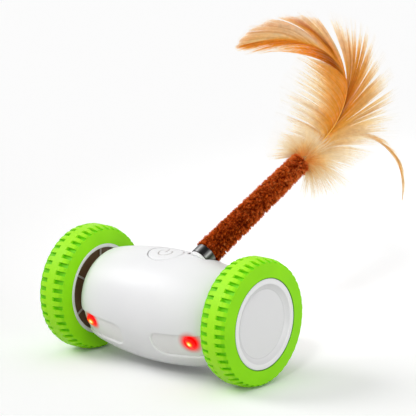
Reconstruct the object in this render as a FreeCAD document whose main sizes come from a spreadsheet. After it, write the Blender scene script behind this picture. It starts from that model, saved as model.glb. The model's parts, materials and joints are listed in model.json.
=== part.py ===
"""Self-driving rolling cat toy: a barrel body between two rubber-tyred wheels, with a feather tail.

The row frame: X along the wheel axle (+X to the toy's own left), -Y is the front with the two eyes,
+Z up. The origin is on the floor, under the middle of the axle. Lengths are in millimetres.
"""
import FreeCAD, Part
import math
import os
import Sketcher

Vector = FreeCAD.Vector
Rotation = FreeCAD.Rotation
Placement = FreeCAD.Placement

doc = FreeCAD.newDocument("RollingCatToy")
sheet = doc.addObject("Spreadsheet::Sheet", "Sizes")
parts = []

SIZES = [
    ("tyre_radius", 32.0, "tread radius, which is also the axle height"),
    ("tread_edge_radius", 31.0, "tread radius where the side walls begin"),
    ("tyre_centre", 52.7, "middle of the toy to the middle of a tyre"),
    ("tyre_half", 7.6, "half of the tread width"),
    ("tyre_bore", 22.3, "radius of the tyre's bore, seated on the rim"),
    ("tread_rib_half", 2.2, "half width of the plain centre rib"),
    ("tread_crown_half", 3.8, "half width of the full-height tread"),
    ("pit_depth", 1.8, "depth of a tread pit below the crown"),
    ("pit_width", 2.1, "tread pit, round the tyre"),
    ("pit_count", 44, "tread pits in each of the two rows"),
    ("ring_face", 44.9, "middle of the toy to the inner face of a rim"),
    ("ring_radius", 23.2, "rim flange radius on the inner side"),
    ("ring_thick", 1.2, "rim flange thickness"),
    ("rim_wall", 0.9, "rim drum wall"),
    ("hub_face", 60.8, "middle of the toy to the outer face of a hub cap"),
    ("hub_radius", 22.8, "hub cap radius"),
    ("hub_flange", 1.2, "hub cap flange thickness"),
    ("hub_land", 20.2, "inner radius of the hub cap's flat border"),
    ("hub_dish", 17.2, "radius of the dished middle of the hub cap"),
    ("hub_dish_depth", 1.8, "depth of the dish"),
    ("web_face", 47.0, "middle of the toy to the inner face of the wheel web"),
    ("web_thick", 1.4, "wheel web thickness"),
    ("wheel_boss", 4.6, "wheel boss radius"),
    ("wheel_boss_face", 45.6, "middle of the toy to the inner end of the wheel boss"),
    ("wheel_boss_end", 56.8, "middle of the toy to the outer end of the wheel boss"),
    ("shaft_end", 55.4, "middle of the toy to the end of a wheel shaft"),
    ("wheel_rib_thick", 1.0, "radial ribs of the wheel web"),
    ("wheel_rib_face", 46.1, "middle of the toy to the ribs' free edges"),
    ("shaft_radius", 1.5, "wheel shaft radius"),
    ("shaft_flat", 1.0, "shaft axis to the flat on its end"),
    ("barrel_radius", 28.5, "body radius in the middle"),
    ("barrel_drop", 1.15, "body axis below the wheel axle"),
    ("barrel_half", 43.9, "half of the body length"),
    ("barrel_arc", 152.0, "radius of the body's long curve"),
    ("barrel_corner", 12.0, "radius of the rounded body ends"),
    ("wall", 1.8, "shell wall"),
    ("shaft_hole", 3.5, "hole in the body ends for the outer bush"),
    ("split_angle", 22.5, "lean of the joint between the two shells, in degrees from upright"),
    ("split_offset", 8.6, "body axis to the joint plane"),
    ("window_inner", 9.7, "middle of the toy to the inner end of an eye window"),
    ("window_top", 6.2, "upper edge of a window above its own middle line"),
    ("window_bottom", 6.6, "lower edge of a window below its middle line"),
    ("window_top_corner", 3.8, "upper inner corner radius"),
    ("window_low_corner", 7.4, "lower inner corner radius"),
    ("window_angle", 26.5, "window middle line below the horizontal, in degrees"),
    ("window_recess", 1.1, "window pad below the body surface"),
    ("window_lip", 0.8, "rounding of the shell round a window"),
    ("window_pad", 1.3, "window pad thickness"),
    ("fit_gap", 0.05, "gap all round a fitted panel"),
    ("led_place", 32.2, "middle of the toy to an eye"),
    ("led_lift", 2.3, "eye above the window's middle line"),
    ("led_radius", 3.2, "eye lens radius"),
    ("led_base", 5.0, "length of the lens barrel behind its dome"),
    ("button_long", 9.2, "power button half length, along the axle"),
    ("button_wide", 8.6, "power button half width, front to back"),
    ("button_forward", 2.7, "power button centre in front of the axle"),
    ("button_gap", 0.4, "groove round the power button"),
    ("button_skin", 2.9, "power button wall"),
    ("button_ledge", 1.4, "ledge that keeps the power button in"),
    ("button_stem", 2.0, "radius of the power button stem"),
    ("board_top", 44.6, "height of the circuit board's upper face"),
    ("board_thick", 1.6, "circuit board thickness"),
    ("board_half", 20.0, "half length of the circuit board"),
    ("board_front", 13.0, "front edge of the board in front of the axle"),
    ("board_back", 16.0, "back edge of the board behind the axle"),
    ("switch_side", 6.0, "tact switch side"),
    ("switch_height", 3.4, "tact switch body height"),
    ("plunger_radius", 1.7, "switch plunger radius"),
    ("plunger_height", 1.6, "switch plunger above its body"),
    ("tail_x", 15.75, "tail foot to the side of the middle"),
    ("tail_y", 5.07, "tail foot behind the axle"),
    ("tail_z", 56.22, "tail foot above the floor"),
    ("tail_yaw", 10.0, "tail lean to the side, in degrees"),
    ("tail_pitch", 31.0, "tail above the horizontal, in degrees"),
    ("pocket_radius", 6.7, "round pocket that the tail stands in"),
    ("pocket_floor", 2.2, "pocket floor below the tail foot"),
    ("cup_wall", 1.4, "wall of the cup that forms the pocket"),
    ("collar_radius", 5.5, "socket collar radius"),
    ("socket_radius", 3.2, "socket sleeve radius"),
    ("socket_bore", 2.0, "bore that takes the tail plug"),
    ("socket_depth", 8.0, "socket sleeve length below the pocket floor"),
    ("plug_radius", 1.95, "tail plug radius"),
    ("ferrule_radius", 5.85, "bright band radius"),
    ("ferrule_bore", 5.3, "bright band bore"),
    ("ferrule_length", 5.1, "bright band length"),
    ("stick_radius", 0.8, "spring wire radius"),
    ("plush_start", 6.1, "plush radius at the band"),
    ("plush_end", 5.2, "plush radius at its far end"),
    ("plush_length", 78.7, "tail foot to the far end of the plush"),
    ("binding_radius", 2.0, "thread binding of the feathers"),
    ("binding_length", 3.0, "binding beyond the plush"),
    ("vane_thick", 1.2, "thickness of a feather's vane"),
    ("gear_module", 0.5, "module of all gears"),
    ("pinion_teeth", 8, "motor pinion teeth"),
    ("large_teeth", 32, "reduction gear, large wheel"),
    ("small_teeth", 10, "reduction gear, small pinion"),
    ("output_teeth", 34, "wheel shaft gear"),
    ("motor_y", 4.0, "motor axis behind the axle"),
    ("motor_z", 14.0, "motor axis above the floor"),
    ("motor_radius", 7.0, "motor can radius"),
    ("motor_flat", 5.5, "motor axis to the flats of the can"),
    ("motor_inner", 10.4, "middle of the toy to the motor's inner end"),
    ("motor_length", 16.0, "motor can length"),
    ("plate_face", 26.4, "middle of the toy to the gear plate"),
    ("plate_thick", 1.6, "gear plate thickness"),
    ("cover_face", 37.6, "middle of the toy to the gear cover"),
    ("cover_thick", 1.2, "gear cover thickness"),
    ("cell_radius", 8.5, "battery cell radius"),
    ("cell_half", 25.0, "half length of the battery cell"),
    ("cell_forward", 11.0, "battery axis in front of the axle"),
    ("cell_height", 20.2, "battery axis above the floor"),
    ("rib_thick", 1.5, "ribs inside the shells"),
]
for row, (alias, number, meaning) in enumerate(SIZES, start=1):
    sheet.set(f"A{row}", meaning)
    sheet.set(f"B{row}", str(number))
    sheet.setAlias(f"B{row}", alias)
doc.recompute()


class Size:
    """A number together with the sheet expression that gives it."""

    def __init__(self, number, text):
        self.number = number
        self.text = text

    def __add__(self, other):
        other = as_size(other)
        return Size(self.number + other.number, f"({self.text} + {other.text})")

    def __sub__(self, other):
        other = as_size(other)
        return Size(self.number - other.number, f"({self.text} - {other.text})")

    def __mul__(self, other):
        other = as_size(other)
        return Size(self.number * other.number, f"({self.text} * {other.text})")

    def __truediv__(self, other):
        other = as_size(other)
        return Size(self.number / other.number, f"({self.text} / {other.text})")

    def __neg__(self):
        return self * -1

    def root(self):
        return Size(math.sqrt(self.number), f"sqrt({self.text})")


def as_size(value):
    if isinstance(value, Size):
        return value
    return Size(float(value), repr(float(value)))


def cell(alias):
    return Size(float(sheet.get(alias)), f"Sizes.{alias}")


AXLE = cell("tyre_radius")
BARREL_Z = cell("tyre_radius") - cell("barrel_drop")


def bind(target, path, size):
    target.setExpression(path, as_size(size).text)


def finished(label, node):
    """Keep an object as one of the toy's pieces."""
    node.Label = label
    parts.append(node)
    return node


def place(node, x=0, y=0, z=0, rotation=None):
    """Put an object at a bound position."""
    x, y, z = as_size(x), as_size(y), as_size(z)
    node.Placement = Placement(Vector(x.number, y.number, z.number), rotation or Rotation())
    bind(node, "Placement.Base.x", x)
    bind(node, "Placement.Base.y", y)
    bind(node, "Placement.Base.z", z)


def span(side, near, far):
    """Start and length along X of something between two distances from the middle, on one side."""
    near, far = as_size(near), as_size(far)
    return (near if side > 0 else -far), far - near


ALONG_X = Rotation(Vector(0, 1, 0), 90)


def rod(name, radius, side, near, far, y=0, z=AXLE):
    """A cylinder along X between two distances from the middle of the toy."""
    start, length = span(side, near, far)
    node = doc.addObject("Part::Cylinder", name)
    bind(node, "Radius", radius)
    bind(node, "Height", length)
    place(node, start, y, z, ALONG_X)
    return node


def block(name, length, width, height, x, y, z):
    """A box whose corner nearest the low ends of the axes is at x, y, z."""
    node = doc.addObject("Part::Box", name)
    bind(node, "Length", length)
    bind(node, "Width", width)
    bind(node, "Height", height)
    place(node, x, y, z)
    return node


def joined(name, *nodes):
    node = doc.addObject("Part::MultiFuse", name)
    node.Shapes = list(nodes)
    return node


def cut(name, base, *tools):
    node = doc.addObject("Part::Cut", name)
    node.Base = base
    node.Tool = tools[0] if len(tools) == 1 else joined(name + "_tools", *tools)
    return node


def common(name, base, tool):
    node = doc.addObject("Part::Common", name)
    node.Base = base
    node.Tool = tool
    return node


def new_body(name):
    return doc.addObject("PartDesign::Body", name)


def new_sketch(body, role, lift=0):
    """A sketch on one of the body's own origin planes, lifted along the plane's normal."""
    plane = next(feature for feature in body.Origin.OriginFeatures if feature.Role == role)
    sketch = body.newObject("Sketcher::SketchObject", body.Name + "_sketch")
    sketch.AttachmentSupport = (plane, [""])
    sketch.MapMode = "FlatFace"
    lift = as_size(lift)
    sketch.AttachmentOffset = Placement(Vector(0, 0, lift.number), Rotation())
    bind(sketch, "AttachmentOffset.Base.z", lift)
    return sketch


def fix_point(sketch, geometry, corner, point):
    """Tie one end of a sketch line or arc to bound coordinates."""
    for kind, size in (("DistanceX", point[0]), ("DistanceY", point[1])):
        if abs(size.number) < 1e-9:
            other = "PointOnObject"
            axis = -2 if kind == "DistanceX" else -1
            sketch.addConstraint(Sketcher.Constraint(other, geometry, corner, axis))
            continue
        index = sketch.addConstraint(Sketcher.Constraint(kind, -1, 1, geometry, corner, size.number))
        sketch.setExpression(f"Constraints[{index}]", size.text)


def outline(sketch, steps):
    """Draw a closed outline. A step is a point (u, v) reached by a line, or a point with a radius
    (u, v, radius, turn) reached by an arc, where turn is +1 for a left turn and -1 for a right."""
    points = [(as_size(step[0]), as_size(step[1])) for step in steps]
    first = sketch.GeometryCount
    turns = [step[3] if len(step) == 4 else 0 for step in steps]
    for index, turn in enumerate(turns):
        start, end = points[index - 1], points[index]
        a = Vector(start[0].number, start[1].number, 0)
        b = Vector(end[0].number, end[1].number, 0)
        if turn == 0:
            sketch.addGeometry(Part.LineSegment(a, b))
            continue
        radius = as_size(steps[index][2])
        half = (b - a) * 0.5
        normal = Vector(-half.y, half.x, 0).normalize()
        rise = math.sqrt(max(radius.number ** 2 - half.Length ** 2, 0.0))
        centre = a + half + normal * (rise * turn)
        middle = centre - normal * (radius.number * turn)
        ends = (a, b) if turn > 0 else (b, a)
        sketch.addGeometry(Part.Arc(ends[0], middle, ends[1]))
    for index, turn in enumerate(turns):
        following = (index + 1) % len(steps)
        arrives = 1 if turn < 0 else 2
        leaves = 2 if turns[following] < 0 else 1
        joint = Sketcher.Constraint("Coincident", first + index, arrives, first + following, leaves)
        sketch.addConstraint(joint)
        fix_point(sketch, first + index, arrives, points[index])
        if turn:
            radius = as_size(steps[index][2])
            bound = sketch.addConstraint(Sketcher.Constraint("Radius", first + index, radius.number))
            sketch.setExpression(f"Constraints[{bound}]", radius.text)


def revolve(body, sketch):
    """Turn a profile a full turn about the sketch's horizontal axis."""
    feature = body.newObject("PartDesign::Revolution", body.Name + "_turn")
    feature.Profile = sketch
    feature.ReferenceAxis = (sketch, ["H_Axis"])
    feature.Angle = 360
    return feature


def pad(body, sketch, length, midplane=False):
    feature = body.newObject("PartDesign::Pad", body.Name + "_pad")
    feature.Profile = sketch
    feature.Midplane = midplane
    bind(feature, "Length", length)
    return feature


def turned(name, steps):
    """A body of revolution about X, from a profile of (x, radius) steps."""
    body = new_body(name)
    sketch = new_sketch(body, "XZ_Plane")
    outline(sketch, steps)
    revolve(body, sketch)
    return body


def sided(side, steps):
    """A profile given by distance from the middle, turned over for the other side."""
    if side > 0:
        return steps
    mirrored = []
    for step in steps:
        turn = (-step[3],) if len(step) == 4 else ()
        mirrored.append((-as_size(step[0]),) + tuple(step[1:3]) + turn)
    return mirrored


# Barrel body


def barrel_edge(inset):
    """Radii and tangent points of the body's curve, offset inwards."""
    arc = cell("barrel_arc") - inset
    corner = cell("barrel_corner") - inset
    half = cell("barrel_half") - inset
    top = cell("barrel_radius") - inset
    reach = cell("barrel_arc") - cell("barrel_corner")
    corner_x = cell("barrel_half") - cell("barrel_corner")
    rise = (reach * reach - corner_x * corner_x).root()
    corner_r = cell("barrel_radius") - cell("barrel_arc") + rise
    tangent_x = corner_x * arc / reach
    tangent_r = cell("barrel_radius") - cell("barrel_arc") + rise * arc / reach
    return arc, corner, half, top, corner_r, tangent_x, tangent_r


def barrel_curve(inset, forwards):
    """Profile steps along the body's curve from one end to the other."""
    arc, corner, half, top, corner_r, tangent_x, tangent_r = barrel_edge(inset)
    turn = -1 if forwards else 1
    sign = 1 if forwards else -1
    return [(half * -sign, corner_r), (tangent_x * -sign, tangent_r, corner, turn),
            (tangent_x * sign, tangent_r, arc, turn), (half * sign, corner_r, corner, turn)]


def hollow_barrel(name, inset, wall):
    """The body's skin between two offsets, open at the ends round the wheel shafts."""
    half = cell("barrel_half")
    bore = 2.0
    steps = [(-(half - inset), bore)] + barrel_curve(inset, True) + [(half - inset, bore)]
    steps += [(half - inset - wall, bore)] + barrel_curve(as_size(inset) + wall, False)
    steps += [(-(half - inset - wall), bore)]
    body = turned(name, steps)
    place(body, 0, 0, BARREL_Z)
    return body


def solid_barrel(name, inset):
    half = cell("barrel_half")
    steps = [(-(half - inset), 0)] + barrel_curve(inset, True) + [(half - inset, 0)]
    body = turned(name, steps)
    place(body, 0, 0, BARREL_Z)
    return body


TILT = float(sheet.get("split_angle"))
BIG = 120.0


def split_block(name):
    """Everything behind the leaning joint plane between the two shells."""
    body = new_body(name)
    sketch = new_sketch(body, "YZ_Plane")
    offset = cell("split_offset")
    outline(sketch, [(offset, -BIG), (offset + BIG, -BIG), (offset + BIG, BIG), (offset, BIG)])
    pad(body, sketch, BIG * 2, midplane=True)
    place(body, 0, 0, BARREL_Z, Rotation(Vector(1, 0, 0), -TILT))
    return body


def window_prism(name, side, gap):
    """The outline of an eye window, pushed through the lower front of the barrel."""
    body = new_body(name)
    near = 14.5
    sketch = new_sketch(body, "XZ_Plane", near)
    inner = cell("window_inner") + gap
    top = cell("window_top") - gap
    low = -(cell("window_bottom") - gap)
    outer = cell("barrel_half") + 2
    top_corner = cell("window_top_corner") - gap
    low_corner = cell("window_low_corner") - gap
    steps = [(outer, low), (outer, top), (inner + top_corner, top), (inner, top - top_corner, top_corner, 1),
             (inner, low + low_corner), (inner + low_corner, low, low_corner, 1)]
    outline(sketch, sided(side, steps))
    pad(body, sketch, cell("barrel_radius") + 4 - near)
    place(body, 0, 0, BARREL_Z, Rotation(Vector(1, 0, 0), float(sheet.get("window_angle"))))
    return body


def button_prism(name, gap, bottom, top):
    """The oval of the power button as an upright prism."""
    body = new_body(name)
    sketch = new_sketch(body, "XY_Plane", bottom)
    long_half = cell("button_long") + gap
    wide_half = cell("button_wide") + gap
    centre = -cell("button_forward")
    major = Vector(long_half.number, centre.number, 0)
    minor = Vector(0, centre.number + wide_half.number, 0)
    oval = sketch.addGeometry(Part.Ellipse(major, minor, Vector(0, centre.number, 0)))
    sketch.exposeInternalGeometry(oval)
    fix_point(sketch, oval, 3, (as_size(0), centre))
    long_line, wide_line = oval + 1, oval + 2
    sketch.addConstraint(Sketcher.Constraint("Horizontal", long_line))
    for line, half in ((long_line, long_half), (wide_line, wide_half)):
        bound = sketch.addConstraint(Sketcher.Constraint("Distance", line, 2 * half.number))
        sketch.setExpression(f"Constraints[{bound}]", (half * 2).text)
    pad(body, sketch, as_size(top) - bottom)
    return body


# Tail axis


def tail_direction():
    yaw = math.radians(float(sheet.get("tail_yaw")))
    pitch = math.radians(float(sheet.get("tail_pitch")))
    return Vector(math.sin(yaw) * math.cos(pitch), math.cos(yaw) * math.cos(pitch), math.sin(pitch))


TAIL = tail_direction()
TAIL_TURN = Rotation(Vector(1, 0, 0), TAIL)
TAIL_FOOT = (cell("tail_x"), cell("tail_y"), cell("tail_z"))


def on_tail(node, start):
    """Lay an object's own X axis along the tail, starting at a distance from the tail foot."""
    start = as_size(start)
    x, y, z = (foot + start * way for foot, way in zip(TAIL_FOOT, TAIL))
    place(node, x, y, z, TAIL_TURN)
    return node


def tail_rod(name, radius, start, end):
    """A cylinder on the tail axis."""
    start, end = as_size(start), as_size(end)
    node = doc.addObject("Part::Cylinder", name)
    bind(node, "Radius", radius)
    bind(node, "Height", end - start)
    place(node, TAIL_FOOT[0] + start * TAIL.x, TAIL_FOOT[1] + start * TAIL.y, TAIL_FOOT[2] + start * TAIL.z,
          TAIL_TURN.multiply(ALONG_X))
    return node


# Shells, windows, eyes and button


def build_shells():
    barrel = hollow_barrel("barrel", 0, cell("wall"))
    front_half = cut("front_half", barrel, split_block("rear_side"))
    floor = -cell("pocket_floor")
    cup = common("pocket_cup", tail_rod("cup_rod", cell("pocket_radius") + cell("cup_wall"), floor - 2.0, 30),
                 solid_barrel("barrel_solid", 0))
    core = solid_barrel("barrel_core", cell("wall") / 2)
    posts_and_ribs = joined("posts_and_ribs", *screw_posts(), *board_posts(), *rib_plates())
    fitted_work = cut("fitted_work", posts_and_ribs, *rooms())
    inner_work = common("inner_work", fitted_work, core)
    front_work = cut("front_work", inner_work, split_block("rear_side_posts"))
    front = joined("front_solid", front_half, cup, front_work)
    tools = [window_prism("left_window_hole", 1, 0), window_prism("right_window_hole", -1, 0),
             button_prism("button_hole", cell("button_gap"), AXLE, 80),
             tail_rod("pocket", cell("pocket_radius"), floor, 40),
             tail_rod("socket_hole", cell("socket_radius") + cell("fit_gap"), floor - 20, 0)]
    for side, word in ((1, "left"), (-1, "right")):
        tools.append(rod(word + "_shaft_hole", cell("shaft_hole"), side, 36, cell("barrel_half") + 2))
    for number, spot in enumerate(SCREW_SPOTS, start=1):
        tools.append(on_joint(f"post_hole_{number}", SCREW_RADIUS, spot, -9, 1))
    for number, (x, y) in enumerate(BOARD_SPOTS, start=1):
        tools.append(upright(f"board_post_hole_{number}", 0.6, x, y, AXLE, cell("board_top") + 5))
    sharp = cut("main_shell_sharp", front, *tools)
    doc.recompute()
    lip = float(sheet.get("window_lip"))
    soft = doc.addObject("Part::Fillet", "main_shell")
    soft.Base = sharp
    numbered = enumerate(sharp.Shape.Edges, start=1)
    soft.Edges = [(number, lip, lip) for number, edge in numbered if round_window(edge)]
    finished("main_shell", soft)

    rear_half = common("rear_half", barrel, split_block("rear_side_cover"))
    rear_work = common("rear_work", inner_work, split_block("rear_side_ribs"))
    seats = [charging_port_hole()]
    for number, spot in enumerate(SCREW_SPOTS, start=1):
        seats.append(on_joint(f"seat_{number}", SCREW_HEAD + 0.1, spot, SCREW_DEPTH, 30))
        seats.append(on_joint(f"seat_hole_{number}", SCREW_RADIUS + 0.1, spot, -1, SCREW_DEPTH + 1))
    finished("rear_shell", cut("rear_shell", joined("rear_solid", rear_half, rear_work), *seats))


def round_window(edge):
    """True for an edge of the main shell where a window opening meets the body's outer surface."""
    angle = math.radians(float(sheet.get("window_angle")))
    outward = Vector(0, -math.cos(angle), -math.sin(angle))
    upward = Vector(0, -math.sin(angle), math.cos(angle))
    arc, corner, _, _, corner_r, tangent_x, _ = (size.number for size in barrel_edge(0))
    top_r = cell("barrel_radius").number
    corner_x = cell("barrel_half").number - corner
    for step in range(7):
        share = step / 6
        point = edge.valueAt(edge.FirstParameter * (1 - share) + edge.LastParameter * share)
        point = point - Vector(0, 0, BARREL_Z.number)
        x, radius, height = abs(point.x), math.hypot(point.y, point.z), point.dot(upward)
        if x < tangent_x:
            on_surface = abs(radius - (top_r - arc + math.sqrt(arc ** 2 - x ** 2))) < 0.05
        else:
            on_surface = abs(math.hypot(x - corner_x, radius - corner_r) - corner) < 0.05
        near = x > cell("window_inner").number - 0.2 and abs(height) < cell("window_bottom").number + 0.2
        if not (on_surface and near and point.dot(outward) > 5):
            return False
    return True


SCREW_SPOTS = ((23.4, 14.0), (-23.4, 14.0), (0.0, -22.4))
SCREW_RADIUS = 1.0
SCREW_HEAD = 1.8
SCREW_DEPTH = 5.0
POST_RADIUS = 2.8
BOARD_SPOTS = ((-17.0, -9.5), (-17.0, 12.5), (17.4, -10.4), (17.4, 13.0))


def on_joint(name, radius, spot, start, end):
    """A cylinder square to the joint plane; start and end are measured from that plane."""
    lean = math.radians(TILT)
    normal = Vector(0, math.cos(lean), -math.sin(lean))
    upward = Vector(0, math.sin(lean), math.cos(lean))
    depth = cell("split_offset") + start
    node = doc.addObject("Part::Cylinder", name)
    bind(node, "Radius", radius)
    bind(node, "Height", as_size(end) - start)
    place(node, spot[0], depth * normal.y + upward.y * spot[1],
          BARREL_Z + depth * normal.z + upward.z * spot[1], Rotation(Vector(0, 0, 1), normal))
    return node


def upright(name, radius, x, y, bottom, top):
    """A vertical cylinder between two heights."""
    node = doc.addObject("Part::Cylinder", name)
    bind(node, "Radius", radius)
    bind(node, "Height", as_size(top) - bottom)
    place(node, x, y, bottom)
    return node


def screw_posts():
    """Posts that the screws between the two shells run into, from wall to wall."""
    return [on_joint(f"screw_post_{number}", POST_RADIUS, spot, -40, 30)
            for number, spot in enumerate(SCREW_SPOTS, start=1)]


def board_posts():
    """Posts that hang from the roof of the main shell down to the circuit board."""
    return [upright(f"board_post_{number}", 1.7, x, y, cell("board_top"), 70)
            for number, (x, y) in enumerate(BOARD_SPOTS, start=1)]


def rib_plates():
    """Saddles for the battery and the motors, and a rail that holds each gear plate to its motor."""
    thick = cell("rib_thick")
    plates = []
    for side, word in ((1, "left"), (-1, "right")):
        start, _ = span(side, 5.2, thick + 5.2)
        plates.append(block(word + "_cell_saddle", thick, 25.0, 20.0, start, -28.5, 0))
        for number, near in enumerate((13.0, 20.0), start=1):
            start, _ = span(side, near, thick + near)
            plates.append(block(f"{word}_motor_saddle_{number}", thick, 18.0, 12.0, start, -4.5, 0))
        rail = cell("plate_face") + cell("plate_thick") + 0.05
        start, _ = span(side, rail, rail + thick)
        plates.append(block(word + "_plate_rail", thick, 13.0, 10.4, start, -2.5, 0))
    return plates


def rooms():
    """The space of the battery cell and of the motors, which no post or rib may enter."""
    room = [rod("cell_room", cell("cell_radius") + cell("fit_gap"), 1, -30, 30, -cell("cell_forward"),
                cell("cell_height"))]
    for side, word in ((1, "left"), (-1, "right")):
        room.append(rod(word + "_motor_room", cell("motor_radius") + cell("fit_gap"), side, 8, 25,
                        cell("motor_y"), cell("motor_z")))
    return room


PORT_WIDTH = 9.0
PORT_HEIGHT = 3.3
PORT_MOUTH = 22.0


def charging_port_hole():
    return block("port_hole", PORT_WIDTH + 0.4, 20, PORT_HEIGHT + 0.4, -(PORT_WIDTH / 2 + 0.2),
                 PORT_MOUTH - 4, cell("board_top") - 0.2)


def build_screws():
    """Screws that hold the rear shell, and screws that hold the board, each kept as one group."""
    pieces = []
    for number, spot in enumerate(SCREW_SPOTS, start=1):
        shank = on_joint(f"shank_{number}", SCREW_RADIUS - 0.02, spot, -8, SCREW_DEPTH)
        head = on_joint(f"head_{number}", SCREW_HEAD, spot, SCREW_DEPTH, SCREW_DEPTH + 1.4)
        pieces.append(joined(f"screw_{number}", shank, head))
    group = doc.addObject("Part::Compound", "shell_screws")
    group.Links = pieces
    finished("shell_screws", group)

    under = cell("board_top") - cell("board_thick")
    pieces = []
    for number, (x, y) in enumerate(BOARD_SPOTS, start=1):
        pieces.append(joined(f"board_screw_{number}",
                             upright(f"board_shank_{number}", 0.58, x, y, under, cell("board_top") + 4),
                             upright(f"board_head_{number}", 1.2, x, y, under - 0.8, under)))
    group = doc.addObject("Part::Compound", "board_screws")
    group.Links = pieces
    finished("board_screws", group)


def build_windows():
    for side, word in ((1, "left"), (-1, "right")):
        recess = cell("window_recess")
        skin = hollow_barrel(word + "_pad_skin", recess, cell("window_pad"))
        prism = window_prism(word + "_pad_prism", side, cell("fit_gap"))
        clipped = common(word + "_pad_blank", skin, prism)
        hole = eye_rod(word + "_eye_hole", side, cell("led_radius") + cell("fit_gap"), 10, 40)
        finished(word + "_window_pad", cut(word + "_window_pad", clipped, hole))


EYE_REACH = 23.9


def eye_rod(name, side, radius, start, end):
    """A cylinder through an eye, square to its window's middle plane."""
    angle = math.radians(float(sheet.get("window_angle")))
    outward = Vector(0, -math.cos(angle), -math.sin(angle))
    upward = Vector(0, -math.sin(angle), math.cos(angle))
    lift = cell("led_lift")
    start = as_size(start)
    node = doc.addObject("Part::Cylinder", name)
    bind(node, "Radius", radius)
    bind(node, "Height", as_size(end) - start)
    place(node, cell("led_place") * side, start * outward.y + lift * upward.y,
          BARREL_Z + start * outward.z + lift * upward.z, Rotation(Vector(0, 0, 1), outward))
    return node


def build_eyes():
    """Round red lamps whose domes stand just proud of the window pads."""
    for side, word in ((1, "left"), (-1, "right")):
        barrel = eye_rod(word + "_eye_barrel", side, cell("led_radius"), EYE_REACH - 5.0, EYE_REACH)
        dome = doc.addObject("Part::Sphere", word + "_eye_dome")
        bind(dome, "Radius", cell("led_radius") * 1.6)
        angle = math.radians(float(sheet.get("window_angle")))
        outward = Vector(0, -math.cos(angle), -math.sin(angle))
        upward = Vector(0, -math.sin(angle), math.cos(angle))
        depth = as_size(EYE_REACH + 1.3) - cell("led_radius") * 1.6
        lift = cell("led_lift")
        place(dome, cell("led_place") * side, depth * outward.y + lift * upward.y,
              BARREL_Z + depth * outward.z + lift * upward.z)
        column = eye_rod(word + "_eye_column", side, cell("led_radius"), EYE_REACH, EYE_REACH + 4)
        finished(word + "_eye", joined(word + "_eye", barrel, common(word + "_eye_cap", column, dome)))


def build_button():
    """Oval cap flush with the body, with a ledge under the shell and a stem down to the switch."""
    outer = solid_barrel("button_outer", 0)
    inner = solid_barrel("button_inner", cell("button_skin"))
    cap = common("button_blank", outer, button_prism("button_shape", 0, AXLE + 10, 80))
    under = cell("wall") + cell("fit_gap")
    ledge = common("button_ledge", solid_barrel("ledge_outer", under),
                   button_prism("ledge_shape", cell("button_ledge"), AXLE + 10, 80))
    front = block("ledge_front", 40, 20, 30, -20, -21, AXLE + 10)
    whole_cap = joined("button_cap", cap, common("button_front_ledge", ledge, front))
    hollow = cut("button_hollow", whole_cap, inner)
    foot = cell("board_top") + cell("switch_height") + cell("plunger_height") + 0.05
    top = BARREL_Z + cell("barrel_radius") - cell("button_skin") + 0.6
    stem = upright("button_stem", cell("button_stem"), 0, -cell("button_forward"), foot, top)
    finished("power_button", joined("power_button", hollow, stem))


# Electronics


def build_electronics():
    half, front, back = cell("board_half"), cell("board_front"), cell("board_back")
    thick = cell("board_thick")
    slab = block("board_slab", half * 2, front + back, thick, -half, -front, cell("board_top") - thick)
    holes = [upright(f"board_hole_{number}", 0.7, x, y, AXLE, 50)
             for number, (x, y) in enumerate(BOARD_SPOTS, start=1)]
    finished("circuit_board", cut("circuit_board", slab, *holes))

    side, tall = cell("switch_side"), cell("switch_height")
    top = cell("board_top")
    body = block("switch_body", side, side, tall, side / -2, -cell("button_forward") - side / 2, top)
    well = upright("switch_well", cell("plunger_radius") + 0.05, 0, -cell("button_forward"),
                   top + 1.0, top + tall + 1)
    finished("tact_switch", cut("tact_switch", body, well))
    finished("switch_plunger", upright("switch_plunger", cell("plunger_radius"), 0, -cell("button_forward"),
                                       top + 2.2, top + tall + cell("plunger_height")))

    length = 7.4
    shell = block("port_shell", PORT_WIDTH, length, PORT_HEIGHT, -PORT_WIDTH / 2, PORT_MOUTH - length, top)
    mouth = block("port_mouth", PORT_WIDTH - 0.8, length - 1.0, PORT_HEIGHT - 0.8, -(PORT_WIDTH - 0.8) / 2,
                  PORT_MOUTH - length + 1.0, top + 0.4)
    tongue = block("port_tongue", PORT_WIDTH - 2.4, length - 1.6, 0.7, -(PORT_WIDTH - 2.4) / 2,
                   PORT_MOUTH - length + 0.8, top + PORT_HEIGHT / 2 - 0.35)
    finished("charging_socket", joined("charging_socket", cut("port_can", shell, mouth), tongue))

    half, y, z = cell("cell_half"), -cell("cell_forward"), cell("cell_height")
    can = rod("cell_can", cell("cell_radius"), 1, -half, half, y, z)
    tip = rod("cell_tip", 2.6, 1, half, half + 1.0, y, z)
    finished("battery_cell", joined("battery_cell", can, tip))


# Drive: a motor, two gear steps and a wheel shaft on each side


def pitch_radius(alias):
    return cell("gear_module") * cell(alias) / 2


def reduction_centre():
    """Axis of the reduction gear: in mesh with both the wheel shaft gear and the motor pinion."""
    first = (pitch_radius("output_teeth") + pitch_radius("small_teeth")).number
    second = (pitch_radius("large_teeth") + pitch_radius("pinion_teeth")).number
    run = float(sheet.get("motor_y"))
    fall = float(sheet.get("motor_z")) - AXLE.number
    distance = math.hypot(run, fall)
    along = (first ** 2 - second ** 2 + distance ** 2) / (2 * distance)
    aside = math.sqrt(first ** 2 - along ** 2)
    y = (along * run - aside * fall) / distance
    z = AXLE.number + (along * fall + aside * run) / distance
    return y, z


GEAR_Y, GEAR_Z = reduction_centre()


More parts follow.
